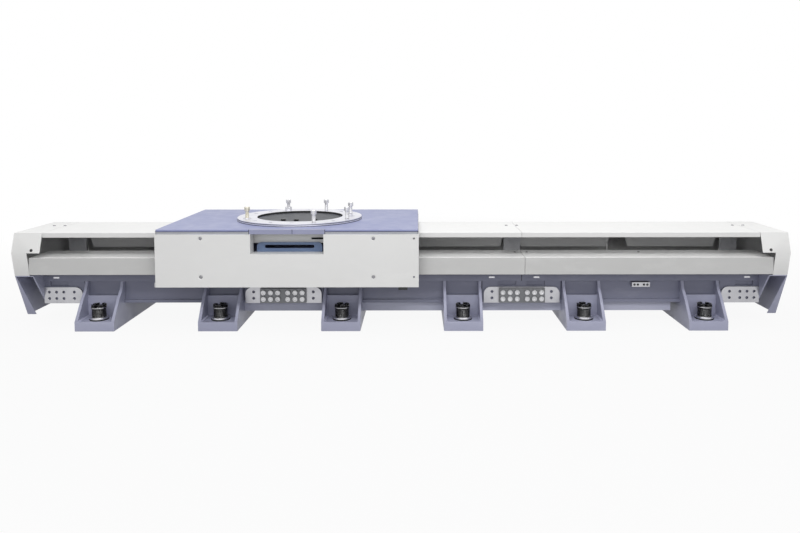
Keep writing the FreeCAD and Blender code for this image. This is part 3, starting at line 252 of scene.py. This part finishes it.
# Nodes with a finish of their own, by how their names start
OTHER_FINISHES = {
    # Painted shade: a darker copy of the frame paint, for the beams that sit in the covers' shade
    "beam": paint("beam_paint_painted_shade", "747689", "7a7c8f", "a4a6b6"),
    "carriage_base_plate": metal("plate_steel", "a4a6ac", "8f9197", 0.40, (6, 1, 1)),
    # Painted light: a far lighter copy of the grey paint, for the posts that stand in the slot's shade
    "cover_posts": paint("post_paint_painted_light", "dcdde1", "d6d7db", "e8e8ea"),
    "notch_bars": paint("bar_paint", "8a8da8", "9194ae", "b9bbd0"),
    "mounting_ring": metal("ring_steel", "e8e8ee", "d2d2da", 0.36),
    "cable_trays": paint("tray_paint", "a9abbe", "aeb0c2", "c9cbd7"),
    # Painted shade and light: a darker copy of the cover paint on the front covers, with near-white tops
    "front_cover": paint("front_cover_painted_light_and_shade", "c1c1c0", "bcbcbb", "d8d8d7", rough=0.40, top="f7f7f6"),
    "joint_blocks": metal("block_steel", "77787b", "68696c", 0.46, (4, 1, 1)),
    # Dark grey paint on the ring's floor, darkened further as painted shade for a deeper bore
    "ring_floor": paint("ring_floor_paint_and_painted_shade", "45474c", "3f4146", "64666b", rough=0.55),
}
# Finishes for the pieces that the scene makes
BLACK_STEEL = metal("black_oxide", "2a2a2c", "1c1c1e", 0.36, grain=380, spots=0.3)
SLEEVE_STEEL = metal("phosphated_steel", "222224", "161618", 0.44, (1, 1, 3), grain=300, spots=0.4)
PANEL_STEEL = metal("panel_screw_steel", "8c8c90", "6f6f73", 0.34, grain=420)
TURNED_STEEL = metal("turned_steel", "dadade", "c0c0c6", 0.30, grain=180)
ZINC_STEEL = metal("yellow_zinc", "d6d2c4", "c1bcab", 0.32, grain=300)
# Black rubber for pads and seals, and for black strips of painted shade in the ring and round the
# carriage's plate
GASKET_AND_PAINTED_SHADE = rubber("gasket_and_painted_shade", "121213", "262627", 0.8)


# The rounding of solids' edges
WELD_DISTANCE = 0.01 * MM
FLAT_BELOW = math.radians(0.5)
SHARP_ABOVE = math.radians(40)


def round_edges(node, width):
    """Welds a node's faces along their edges and rounds the sharp ones, by modifiers alone."""
    weld = node.modifiers.new("weld", "WELD")
    weld.merge_threshold = WELD_DISTANCE
    flat = node.modifiers.new("join_flat_faces", "DECIMATE")
    flat.decimate_type = "DISSOLVE"
    flat.angle_limit = FLAT_BELOW
    rounded = node.modifiers.new("round", "BEVEL")
    rounded.width = width
    rounded.segments = 2
    rounded.limit_method = "ANGLE"
    rounded.angle_limit = SHARP_ABOVE
    rounded.use_clamp_overlap = True
    node.modifiers.new("even_shading", "WEIGHTED_NORMAL")


# Widths in millimetres, by how the nodes' names start
ROUNDINGS = {"foot": 2.0, "beam": 2.0, "end_frame": 1.2, "front_cover": 1.4, "rear_cover": 1.4,
             "top_cover": 1.4, "end_cap": 1.4, "carriage_plate": 1.2, "front_panel": 1.2,
             "rear_panel": 1.2, "joint_plates": 1.2, "end_joint_plates": 1.2, "joint_blocks": 1.5}


def dress_nodes():
    """Gives each CAD node its own finish or the one that the record names."""
    slots = {part["node"]: part["material_slot"] for part in frame["record"]["subparts"]}
    for name, node in NODES.items():
        special = [finish for start, finish in OTHER_FINISHES.items() if name.startswith(start)]
        finish = special[0] if special else FINISHES[slots[name]]
        if not node.material_slots:
            node.data.materials.append(None)
        for place in node.material_slots:
            place.link = "OBJECT"
            place.material = finish
        for start, width in ROUNDINGS.items():
            if name.startswith(start):
                round_edges(node, width * MM)


# Meshes. The angles lie between two faces: an edge below the first is shaded smooth, and one above
# the second can get a bevel.
SMOOTH_BELOW = 0.55
BEVEL_ABOVE = 0.6


def ring_of(radius, height, sides, corners):
    """Points round an axis at one height, on a circle or on a polygon with so many corners."""
    points = []
    for i in range(sides):
        angle = 2 * math.pi * i / sides
        reach = radius
        if corners:
            half = math.pi / corners
            reach = radius * math.cos(half) / math.cos((angle % (2 * half)) - half)
        points.append(Vector((reach * math.cos(angle), reach * math.sin(angle), height)))
    return points


def turned(bm, rings, sides=24, closed=False):
    """A turned form through rings of (radius, height) or (radius, height, corners)."""
    loops = []
    for radius, height, *corners in rings:
        points = ring_of(radius, height, sides, corners[0] if corners else 0)
        loops.append([bm.verts.new(p) for p in points])
    pairs = list(zip(loops, loops[1:]))
    if closed:
        pairs.append((loops[-1], loops[0]))
    for low, high in pairs:
        for i in range(sides):
            j = (i + 1) % sides
            bm.faces.new((low[i], low[j], high[j], high[i]))
    if not closed:
        bm.faces.new(list(reversed(loops[0])))
        bm.faces.new(loops[-1])


def sector(bm, inner, outer, low, high, start, end, steps=4):
    """A closed piece of a tube between two angles."""
    rows = []
    for i in range(steps + 1):
        angle = start + (end - start) * i / steps
        across = Vector((math.cos(angle), math.sin(angle), 0))
        corners = ((inner, low), (outer, low), (outer, high), (inner, high))
        rows.append([bm.verts.new(across * r + Vector((0, 0, z))) for r, z in corners])
    for a, b in zip(rows, rows[1:]):
        for i in range(4):
            j = (i + 1) % 4
            bm.faces.new((a[i], b[i], b[j], a[j]))
    bm.faces.new(rows[0])
    bm.faces.new(list(reversed(rows[-1])))


def block(bm, low, high):
    """A closed block between two corners."""
    corner = [bm.verts.new((x, y, z)) for x in (low[0], high[0]) for y in (low[1], high[1])
              for z in (low[2], high[2])]
    for face in ((0, 1, 3, 2), (4, 6, 7, 5), (0, 4, 5, 1), (2, 3, 7, 6), (0, 2, 6, 4), (1, 5, 7, 3)):
        bm.faces.new([corner[i] for i in face])


def shade(bm):
    """Marks the edges that are shaded smooth. The others stay sharp."""
    for edge in bm.edges:
        edge.smooth = len(edge.link_faces) != 2 or edge.calc_face_angle() < SMOOTH_BELOW


def mesh_of(build, bevel=0.0):
    """A mesh from a function that fills a bmesh, with its normals outward and sharp edges kept."""
    bm = bmesh.new()
    build(bm)
    bmesh.ops.recalc_face_normals(bm, faces=bm.faces)
    if bevel:
        sharp = [edge for edge in bm.edges
                 if len(edge.link_faces) == 2 and edge.calc_face_angle() > BEVEL_ABOVE]
        bmesh.ops.bevel(bm, geom=sharp, offset=bevel, segments=2, affect="EDGES", clamp_overlap=True)
    shade(bm)
    for face in bm.faces:
        face.smooth = True
    mesh = bpy.data.meshes.new("piece")
    bm.to_mesh(mesh)
    bm.free()
    return mesh


def many(mesh, places):
    """One mesh that repeats another at each place, a matrix."""
    bm = bmesh.new()
    for place in places:
        copy = mesh.copy()
        copy.transform(place)
        bm.from_mesh(copy)
        bpy.data.meshes.remove(copy)
    shade(bm)
    joined = bpy.data.meshes.new("piece")
    bm.to_mesh(joined)
    bm.free()
    return joined


def piece(name, mesh, material, body, stands_for=()):
    """An object in the scene that rides on a body."""
    made = bpy.data.objects.new(name, mesh)
    mesh.name = name
    mesh.materials.clear()
    mesh.materials.append(material)
    bpy.context.scene.collection.objects.link(made)
    if stands_for:
        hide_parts(*stands_for)
    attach(made, body)
    return made


def facing(point, direction):
    """The place of a fitting whose axis points along direction."""
    turn = Vector(direction).to_track_quat("Z", "Y").to_matrix().to_4x4()
    return Matrix.Translation(Vector(point)) @ turn


def on_face(node, start, direction):
    """Where a ray meets a node, and the way that its face looks."""
    hit, point, normal, _ = NODES[node].ray_cast(Vector(start), Vector(direction))
    if not hit:
        raise RuntimeError(f"nothing of {node} lies there")
    return facing(point, normal)


# Screws. Each head stands on the plane under it and reaches a little way in. A head is given by its
# radius, and its socket by the share of that radius.
SEATED = 0.2 * MM


def socket_screw(head, height, key=0.52):
    """A cap screw's head with its hexagon socket and a chamfer."""
    rim, socket = 0.08 * head, head * key
    floor, tip = height * 0.2, height * 0.15
    rings = [(head * 0.97, -SEATED), (head, rim), (head, height - rim), (head - rim, height),
             (socket + rim, height, 6), (socket, height - rim, 6), (socket, floor, 6),
             (socket * 0.4, tip, 6)]
    return mesh_of(lambda bm: turned(bm, rings))


def button_screw(head, height, key=0.42):
    """A low domed head with its hexagon socket."""
    socket = head * key
    dome = [(head * share, height * rise) for share, rise in
            ((1, 0.15), (0.92, 0.55), (0.72, 0.88), (0.55, 1))]
    floor, tip = height * 0.4, height * 0.35
    rings = [(head, -SEATED)] + dome + [(socket, height, 6), (socket, floor, 6), (socket * 0.4, tip, 6)]
    return mesh_of(lambda bm: turned(bm, rings))


def washer(outer, inner, low, high, sides=40):
    """A flat washer with chamfered edges, between two radii and two heights."""
    cut = 0.15 * (high - low)
    rings = [(inner, low), (outer - cut, low), (outer, low + cut), (outer, high - cut),
             (outer - cut, high), (inner + cut, high), (inner, high - cut)]
    return mesh_of(lambda bm: turned(bm, rings, sides, closed=True))


# The feet's levelling sleeves
def sleeve(bm):
    """A hollow threaded sleeve with a castellated collar."""
    bore, shank, outer, collar = 13 * MM, 22 * MM, 28 * MM, 30 * MM
    low, collar_low, collar_high, top = 50 * MM, 84 * MM, 93 * MM, 101 * MM
    threads, pitch, dip, chamfer = 10, 3.4 * MM, 1.3 * MM, 1 * MM
    rings = [(bore, 0), (shank, 0), (shank, low)]
    for i in range(threads):
        rings += [(outer, low + pitch * (i + 0.25)), (outer - dip, low + pitch * (i + 0.75))]
    rings += [(collar - chamfer, collar_low), (collar, collar_low + chamfer),
              (collar, collar_high - chamfer), (collar - chamfer, collar_high), (bore, collar_high)]
    turned(bm, rings, 40, closed=True)

    lugs, first, width = 4, math.radians(16), math.radians(58)
    inner, recess = 19 * MM, 0.5 * MM
    for i in range(lugs):
        start = 2 * math.pi * i / lugs + first
        sector(bm, inner, collar - recess, collar_high - recess, top, start, start + width)


def add_sleeves():
    """The sleeves, each screwed to an angle of its own, with a band, a rubber pad and a washer."""
    spin = math.radians(17)
    places = [Matrix.Translation((x, side * SLEEVE_SIDE, 0)) for x in FEET for side in (-1, 1)]
    turned_places = [place @ Matrix.Rotation(spin * i, 4, "Z") for i, place in enumerate(places)]
    piece("sleeve_bodies", many(mesh_of(sleeve), turned_places), SLEEVE_STEEL, "track",
          ["levelling_sleeves"])

    bands = washer(30.6 * MM, 29 * MM, 87.5 * MM, 89.7 * MM)
    piece("sleeve_bands", many(bands, places), TURNED_STEEL, "track")

    hole = 22.5 * MM
    pad_top = BASE_TOP + 4 * MM
    washer_top = BASE_TOP + 12 * MM
    pads = washer(38 * MM, hole, BASE_TOP, pad_top)
    piece("sleeve_pads", many(pads, places), GASKET_AND_PAINTED_SHADE, "track")
    rings = washer(36.5 * MM, hole, pad_top, washer_top)
    piece("sleeve_washers", many(rings, places), TURNED_STEEL, "track")


def bead(bm, start, end, radius=4.2 * MM, step=2.2 * MM, sides=8):
    """A weld bead from one point to another, with its ripples and tapered ends."""
    taper, ripple = 0.6, 0.16
    start, end = Vector(start), Vector(end)
    along = (end - start).normalized()
    turn = along.to_track_quat("Z", "Y").to_matrix()
    count = int((end - start).length / step)
    loops = []
    for i in range(count + 1):
        swell = radius * (taper if i in (0, count) else 1.0 + ripple * math.cos(math.pi * i))
        centre = start + along * (end - start).length * i / count
        loops.append([bm.verts.new(centre + turn @ p) for p in ring_of(swell, 0, sides, 0)])
    for low, high in zip(loops, loops[1:]):
        for i in range(sides):
            j = (i + 1) % sides
            bm.faces.new((low[i], low[j], high[j], high[i]))
    bm.faces.new(list(reversed(loops[0])))
    bm.faces.new(loops[-1])


def add_welds():
    """Painted weld beads in each foot, where its gussets and back plate stand on the base."""
    inner, back, front, top = 68 * MM, 176 * MM, 284 * MM, 122 * MM

    def build(bm):
        for foot in FEET:
            for side in (-1, 1):
                for hand in (-1, 1):
                    x = foot + hand * inner
                    bead(bm, (x, side * front, BASE_TOP), (x, side * back, BASE_TOP))
                    bead(bm, (x, side * back, BASE_TOP), (x, side * back, top))
                bead(bm, (foot - inner, side * back, BASE_TOP), (foot + inner, side * back, BASE_TOP))

    piece("foot_welds", mesh_of(build), FINISHES["frame_paint"], "track")


# Screws on the fixed track
def add_joint_screws():
    """Twelve cap screws through each joint block."""
    columns, rows = (-81, -51, -21, 21, 51, 81), (111.5, 138.5)
    places = []
    for side in (-1, 1):
        face = face_of("joint_blocks", 1, side)
        for joint in (-JOINT, JOINT):
            for column in columns:
                for row in rows:
                    places.append(facing((joint + column * MM, face, row * MM), (0, side, 0)))
    screw = socket_screw(10.4 * MM, 8 * MM, 0.6)
    piece("joint_screws", many(screw, places), FINISHES["bolt_steel"], "track")


def add_cover_screws():
    """Pairs of button screws beside the top cover's seams, and small ones on the front covers."""
    up = (0, 0, 1)
    top_line, half_pair = -55 * MM, 23 * MM
    pairs = (-LAST_SEAM - 28 * MM, -COVER_SEAM, COVER_SEAM - 16 * MM, LAST_SEAM - 4 * MM)
    top = [facing((pair + step, top_line, COVER_TOP), up) for pair in pairs
           for step in (-half_pair, half_pair)]
    head = button_screw(6.5 * MM, 2.8 * MM)
    piece("top_cover_screws", many(head, top), PANEL_STEEL, "track")

    side_line = -145 * MM
    side = [facing((x * MM, side_line, SIDE_COVER_TOP), up) for x in (-1000, -525, -475, 475, 525, 1000)]
    small = button_screw(5 * MM, 1.8 * MM)
    piece("front_cover_screws", many(small, side), BLACK_STEEL, "track")


def add_cap_screws():
    """One black screw in the front and the back of each end cap."""
    along, outside, height = 1496 * MM, 600 * MM, 332 * MM
    places = []
    for end, node in ((-1, "end_cap_left"), (1, "end_cap_right")):
        for side in (-1, 1):
            places.append(on_face(node, (end * along, side * outside, height), (0, -side, 0)))
    head = button_screw(6 * MM, 2.2 * MM)
    piece("end_cap_screws", many(head, places), BLACK_STEEL, "track")


def add_bracket_screws():
    """Four small black screws in each switch bracket. Both brackets are on the track's front."""
    brackets, steps = (-1000, 1000), (-27, -13, 13, 27)
    face = face_of("switch_brackets", 1, -1)
    height = middle("switch_brackets").z
    places = [facing(((bracket + step) * MM, face, height), (0, -1, 0)) for bracket in brackets
              for step in steps]
    head = button_screw(5 * MM, 2 * MM)
    piece("bracket_screws", many(head, places), BLACK_STEEL, "track")


def add_band_keys():
    """Bright steel keys let into the beam's top band."""
    low, high, half = 196 * MM, 202 * MM, 12 * MM
    deep, proud = 2 * MM, 1.2 * MM
    keys = (-1449, -562, -374, 374, 562, 1449)

    def build(bm):
        for side in (-1, 1):
            face = face_of("beam_middle", 1, side)
            near, far = sorted((face - side * deep, face + side * proud))
            for key in keys:
                block(bm, (key * MM - half, near, low), (key * MM + half, far, high))

    piece("band_keys", mesh_of(build, 0.6 * MM), TURNED_STEEL, "track")


def add_panel_screws():
    """Four screws in each panel of the carriage, sunk flush into countersinks cut for them."""
    radius, depth, slope = 8.6 * MM, 2.2 * MM, 2 * MM
    columns, rows = (-342, 342), (235, 389)
    above = 1 * MM
    heads = []
    for node, side in (("front_panel", -1), ("rear_panel", 1)):
        face = face_of(node, 1, side)
        places = [facing((CARRIAGE + column * MM, face, row * MM), (0, side, 0))
                  for column in columns for row in rows]
        floor = Matrix.Translation((0, 0, -depth))
        heads += [place @ floor for place in places]
        rings = [(radius - slope, -depth), (radius + above, above)]
        cone = mesh_of(lambda bm: turned(bm, rings, 30))
        cutter = bpy.data.objects.new(node + "_cutter", many(cone, places))
        bpy.context.scene.collection.objects.link(cutter)
        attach(cutter, "carriage")
        cutter.hide_render = True
        cutter.hide_viewport = True
        sink = NODES[node].modifiers.new("countersinks", "BOOLEAN")
        sink.object = cutter
        sink.solver = "EXACT"
        # Next after the weld, so that the countersinks' edges are cleaned up with the others
        NODES[node].modifiers.move(len(NODES[node].modifiers) - 1, 1)
    head = button_screw(6.4 * MM, 1.9 * MM, 0.5)
    piece("panel_screws", many(head, heads), PANEL_STEEL, "carriage")


def add_joint_seals():
    """Black seal squeezed out of the joints between the beam modules, on their web and top band."""
    half, deep, proud = 1.2 * MM, 2 * MM, 0.4 * MM
    web = (166 * MM, 159 * MM, 183 * MM)
    band = (182 * MM, 183 * MM, 215 * MM)

    def build(bm):
        for joint in (-JOINT, JOINT):
            for side in (-1, 1):
                for face, low, high in (web, band):
                    inner, outer = sorted((side * (face - deep), side * (face + proud)))
                    block(bm, (joint - half, inner, low), (joint + half, outer, high - proud))

    piece("joint_seals", mesh_of(build), GASKET_AND_PAINTED_SHADE, "track")


# The mounting ring and its bolts
def add_ring_painted_shade():
    """Black bands of painted shade round the ring, under it and between its two layers, and on its
    bore's wall.
    """
    to_carriage = Matrix.Translation((CARRIAGE, 0, 0))
    outer, inner = RING_RADIUS + 0.4 * MM, RING_RADIUS - 2 * MM
    sides = 168
    for name, low, high in (("ring_gap", 0, 2.2), ("ring_groove", 6.4, 9.0)):
        band = washer(outer, inner, PLATE_TOP + low * MM, PLATE_TOP + high * MM, sides)
        band.transform(to_carriage)
        piece(name, band, GASKET_AND_PAINTED_SHADE, "carriage")
    # Painted shade: a black band on the bore's wall
    outer, inner = BORE_RADIUS + 2.5 * MM, BORE_RADIUS - 1 * MM
    bore_shade = washer(outer, inner, PLATE_TOP + 3 * MM, RING_TOP + 0.3 * MM, sides)
    bore_shade.transform(to_carriage)
    piece("ring_bore_painted_shade", bore_shade, GASKET_AND_PAINTED_SHADE, "carriage")


def add_plate_painted_shade():
    """Black strips of painted shade along the seam under the edges of the carriage's plate, and beside
    the bars in its notch.
    """
    low, high = (Vector(corner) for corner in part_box("carriage_plate"))
    bar_low, bar_high = (Vector(corner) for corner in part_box("notch_bars"))
    seam, proud, deep = 1.1 * MM, 0.3 * MM, 3 * MM
    between_bars, beside_bars = CARRIAGE + 21 * MM, 0.8 * MM

    def build(bm):
        bottom, top = low.z - seam, low.z + seam
        for first, last in ((low.x - proud, bar_low.x), (bar_high.x, high.x + proud)):
            block(bm, (first, low.y - proud, bottom), (last, low.y + deep, top))
        block(bm, (low.x - proud, high.y - deep, bottom), (high.x + proud, high.y + proud, top))
        for near, far in ((low.x - proud, low.x + deep), (high.x - deep, high.x + proud)):
            block(bm, (near, low.y + deep, bottom), (far, high.y - deep, top))
        for x in (bar_low.x - beside_bars, between_bars, bar_high.x + beside_bars):
            block(bm, (x - seam, low.y - proud, bar_low.z), (x + seam, low.y + deep, bar_high.z + proud))

    piece("plate_painted_shade", mesh_of(build), GASKET_AND_PAINTED_SHADE, "carriage")


def ring_place(degrees):
    """A place on the bolts' circle, at the height of the frame's origin."""
    angle = math.radians(degrees)
    across = BOLTS_RADIUS * Vector((math.cos(angle), math.sin(angle), 0))
    return Matrix.Translation(Vector((CARRIAGE, 0, 0)) + across)


def standing_bolt(bm):
    """A cap screw that stands half out of its hole, with its thread showing."""
    thread, head, socket = 8 * MM, 12 * MM, 7 * MM
    pitch, dip, runout = 2 * MM, 0.9 * MM, 6 * MM
    low, under, top = RING_TOP - 2 * MM, 470 * MM, 486 * MM
    under_cut, top_cut = 0.8 * MM, 1.2 * MM
    floor, tip = top - 8 * MM, top - 9 * MM
    rings = [(thread, PLATE_TOP), (thread, low)]
    for i in range(int((under - low - runout) / pitch)):
        rings += [(thread, low + pitch * (i + 0.3)), (thread - dip, low + pitch * (i + 0.8))]
    rings += [(thread * 0.94, under), (head - under_cut, under), (head, under + under_cut),
              (head, top - top_cut), (head - top_cut, top), (socket + 0.4 * MM, top, 6),
              (socket, top - 0.6 * MM, 6), (socket, floor, 6), (2 * MM, tip, 6)]
    turned(bm, rings)


def hexagon_nut(bm):
    """A nut with chamfered corners, run down on a bolt."""
    low, high = RING_TOP + 3 * MM, RING_TOP + 16 * MM
    bore, corner, cut = 8 * MM, 15.5 * MM, 1.5 * MM
    rings = [(bore, low), (corner * 0.9, low), (corner, low + cut, 6), (corner, high - cut, 6),
             (corner * 0.9, high), (bore, high)]
    turned(bm, rings, closed=True)


def add_ring_bolts():
    """Six bolts in the ring: one wears a nut and a wide washer, one is zinc plated."""
    with_nut, zinc = ring_place(112.5), ring_place(202.5)
    steel = [ring_place(22.5), ring_place(67.5), with_nut, ring_place(292.5), ring_place(337.5)]
    bolt = mesh_of(standing_bolt)
    piece("ring_bolts_steel", many(bolt, steel), FINISHES["bolt_steel"], "carriage",
          ["ring_bolts"])
    piece("ring_bolt_zinc", many(bolt, [zinc]), ZINC_STEEL, "carriage", ["ring_bolts"])

    nut = many(mesh_of(hexagon_nut), [with_nut])
    piece("ring_nut", nut, FINISHES["bolt_steel"], "carriage")
    wide = washer(17 * MM, 8.2 * MM, RING_TOP, RING_TOP + 3 * MM)
    piece("ring_washers", many(wide, [with_nut, zinc]), TURNED_STEEL, "carriage")


def add_floor_screws():
    """Three black cap screws on the floor inside the ring."""
    spots = ((-59, -90), (-2, -98), (77, -90))
    top = face_of("ring_floor", 2, 1)
    places = [facing((CARRIAGE + x * MM, y * MM, top), (0, 0, 1)) for x, y in spots]
    head = socket_screw(10 * MM, 7.5 * MM)
    piece("ring_floor_screws", many(head, places), BLACK_STEEL, "carriage")


# Lights, floor and camera
def add_floor():
    """A floor that throws grey light, and that the camera and reflections see as white.

    Near the object a little of its own grey shows through, and with it the object's shadow.
    """
    half, below = 9.0, -0.2 * MM
    corners = ((-half, -half), (half, -half), (half, half), (-half, half))
    mesh = mesh_of(lambda bm: bm.faces.new([bm.verts.new((x, y, below)) for x, y in corners]))
    floor = bpy.data.objects.new("studio_floor", mesh)
    bpy.context.scene.collection.objects.link(floor)
    f = Finish("studio_floor", Roughness=0.9)
    f.join(f.blend(f.noise(0.7), linear("a6a6a8"), linear("adadae")), f.shader.inputs["Base Color"])
    paths = f.node("ShaderNodeLightPath").outputs
    seen = f.node("ShaderNodeMath", {"operation": "MAXIMUM"})
    f.join(paths["Is Camera Ray"], seen.inputs[0])
    f.join(paths["Is Glossy Ray"], seen.inputs[1])
    through = f.node("ShaderNodeMath", {"operation": "MAXIMUM"})
    f.join(seen.outputs["Value"], through.inputs[0])
    f.join(paths["Is Transmission Ray"], through.inputs[1])
    distance = f.node("ShaderNodeVectorMath", {"operation": "LENGTH"})
    f.join(f.place, distance.inputs[0])
    fade = f.between(distance.outputs["Value"], low=0.93, high=1.0, first=1.7, last=3.6)
    white = f.node("ShaderNodeEmission", Color=(1, 1, 1, 1), Strength=1.0)
    mixed = f.node("ShaderNodeMixShader")
    f.join(f.times(through.outputs["Value"], fade), mixed.inputs["Fac"])
    f.join(f.shader.outputs["BSDF"], mixed.inputs[1])
    f.join(white.outputs["Emission"], mixed.inputs[2])
    output = next(n for n in f.tree.nodes if n.type == "OUTPUT_MATERIAL")
    f.join(mixed.outputs["Shader"], output.inputs["Surface"])
    mesh.materials.append(f.material)


def add_world():
    """Even grey light, seen as white by the camera and in reflections."""
    grey = 0.42
    world = bpy.data.worlds.new("studio")
    bpy.context.scene.world = world
    world.use_nodes = True
    nodes, links = world.node_tree.nodes, world.node_tree.links
    nodes.clear()
    light = nodes.new("ShaderNodeBackground")
    light.inputs["Color"].default_value = (1, 1, 1, 1)
    light.inputs["Strength"].default_value = grey
    white = nodes.new("ShaderNodeBackground")
    white.inputs["Color"].default_value = (1, 1, 1, 1)
    white.inputs["Strength"].default_value = 1.0
    paths = nodes.new("ShaderNodeLightPath").outputs
    mixed = nodes.new("ShaderNodeMixShader")
    output = nodes.new("ShaderNodeOutputWorld")
    seen = nodes.new("ShaderNodeMath")
    seen.operation = "MAXIMUM"
    links.new(paths["Is Camera Ray"], seen.inputs[0])
    links.new(paths["Is Glossy Ray"], seen.inputs[1])
    links.new(seen.outputs["Value"], mixed.inputs["Fac"])
    links.new(light.outputs["Background"], mixed.inputs[1])
    links.new(white.outputs["Background"], mixed.inputs[2])
    links.new(mixed.outputs["Shader"], output.inputs["Surface"])


def add_lamp(name, place, target, size, power):
    """A soft rectangular lamp that looks at a point."""
    lamp = bpy.data.lights.new(name, "AREA")
    lamp.shape = "RECTANGLE"
    lamp.size, lamp.size_y = size
    lamp.energy = power
    made = bpy.data.objects.new(name, lamp)
    made.location = place
    made.rotation_euler = (Vector(target) - Vector(place)).to_track_quat("-Z", "Y").to_euler()
    bpy.context.scene.collection.objects.link(made)


def add_camera():
    """The photograph's view: straight on, from a little above."""
    pitch, turn = math.radians(4), -0.0056
    camera = bpy.data.cameras.new("photo_camera")
    camera.sensor_width = 36
    camera.lens = 33.16
    camera.shift_x, camera.shift_y = -0.026, -0.1144
    camera.clip_end = 50
    made = bpy.data.objects.new("photo_camera", camera)
    made.location = (0.0589, -3.2378, 0.8431)
    made.rotation_euler = (math.pi / 2 - pitch, 0, turn)
    bpy.context.scene.collection.objects.link(made)
    bpy.context.scene.camera = made


dress_nodes()
add_sleeves()
add_welds()
add_joint_screws()
add_cover_screws()
add_cap_screws()
add_bracket_screws()
add_band_keys()
add_panel_screws()
add_joint_seals()
add_ring_painted_shade()
add_plate_painted_shade()
add_ring_bolts()
add_floor_screws()
add_floor()
add_world()
add_lamp("ceiling_panel", place=(0, -0.4, 3.2), target=(0, 0, 0.2), size=(4.5, 2.0), power=48)
add_lamp("front_light", place=(0.3, -3.2, 3.3), target=(0, -0.1, 0.3), size=(4.6, 1.2), power=92)
add_lamp("low_front_light", place=(0.2, -3.9, 1.35), target=(0, -0.1, 0.3), size=(5.0, 0.9), power=30)
add_camera()
bpy.context.scene.view_settings.view_transform = "Standard"
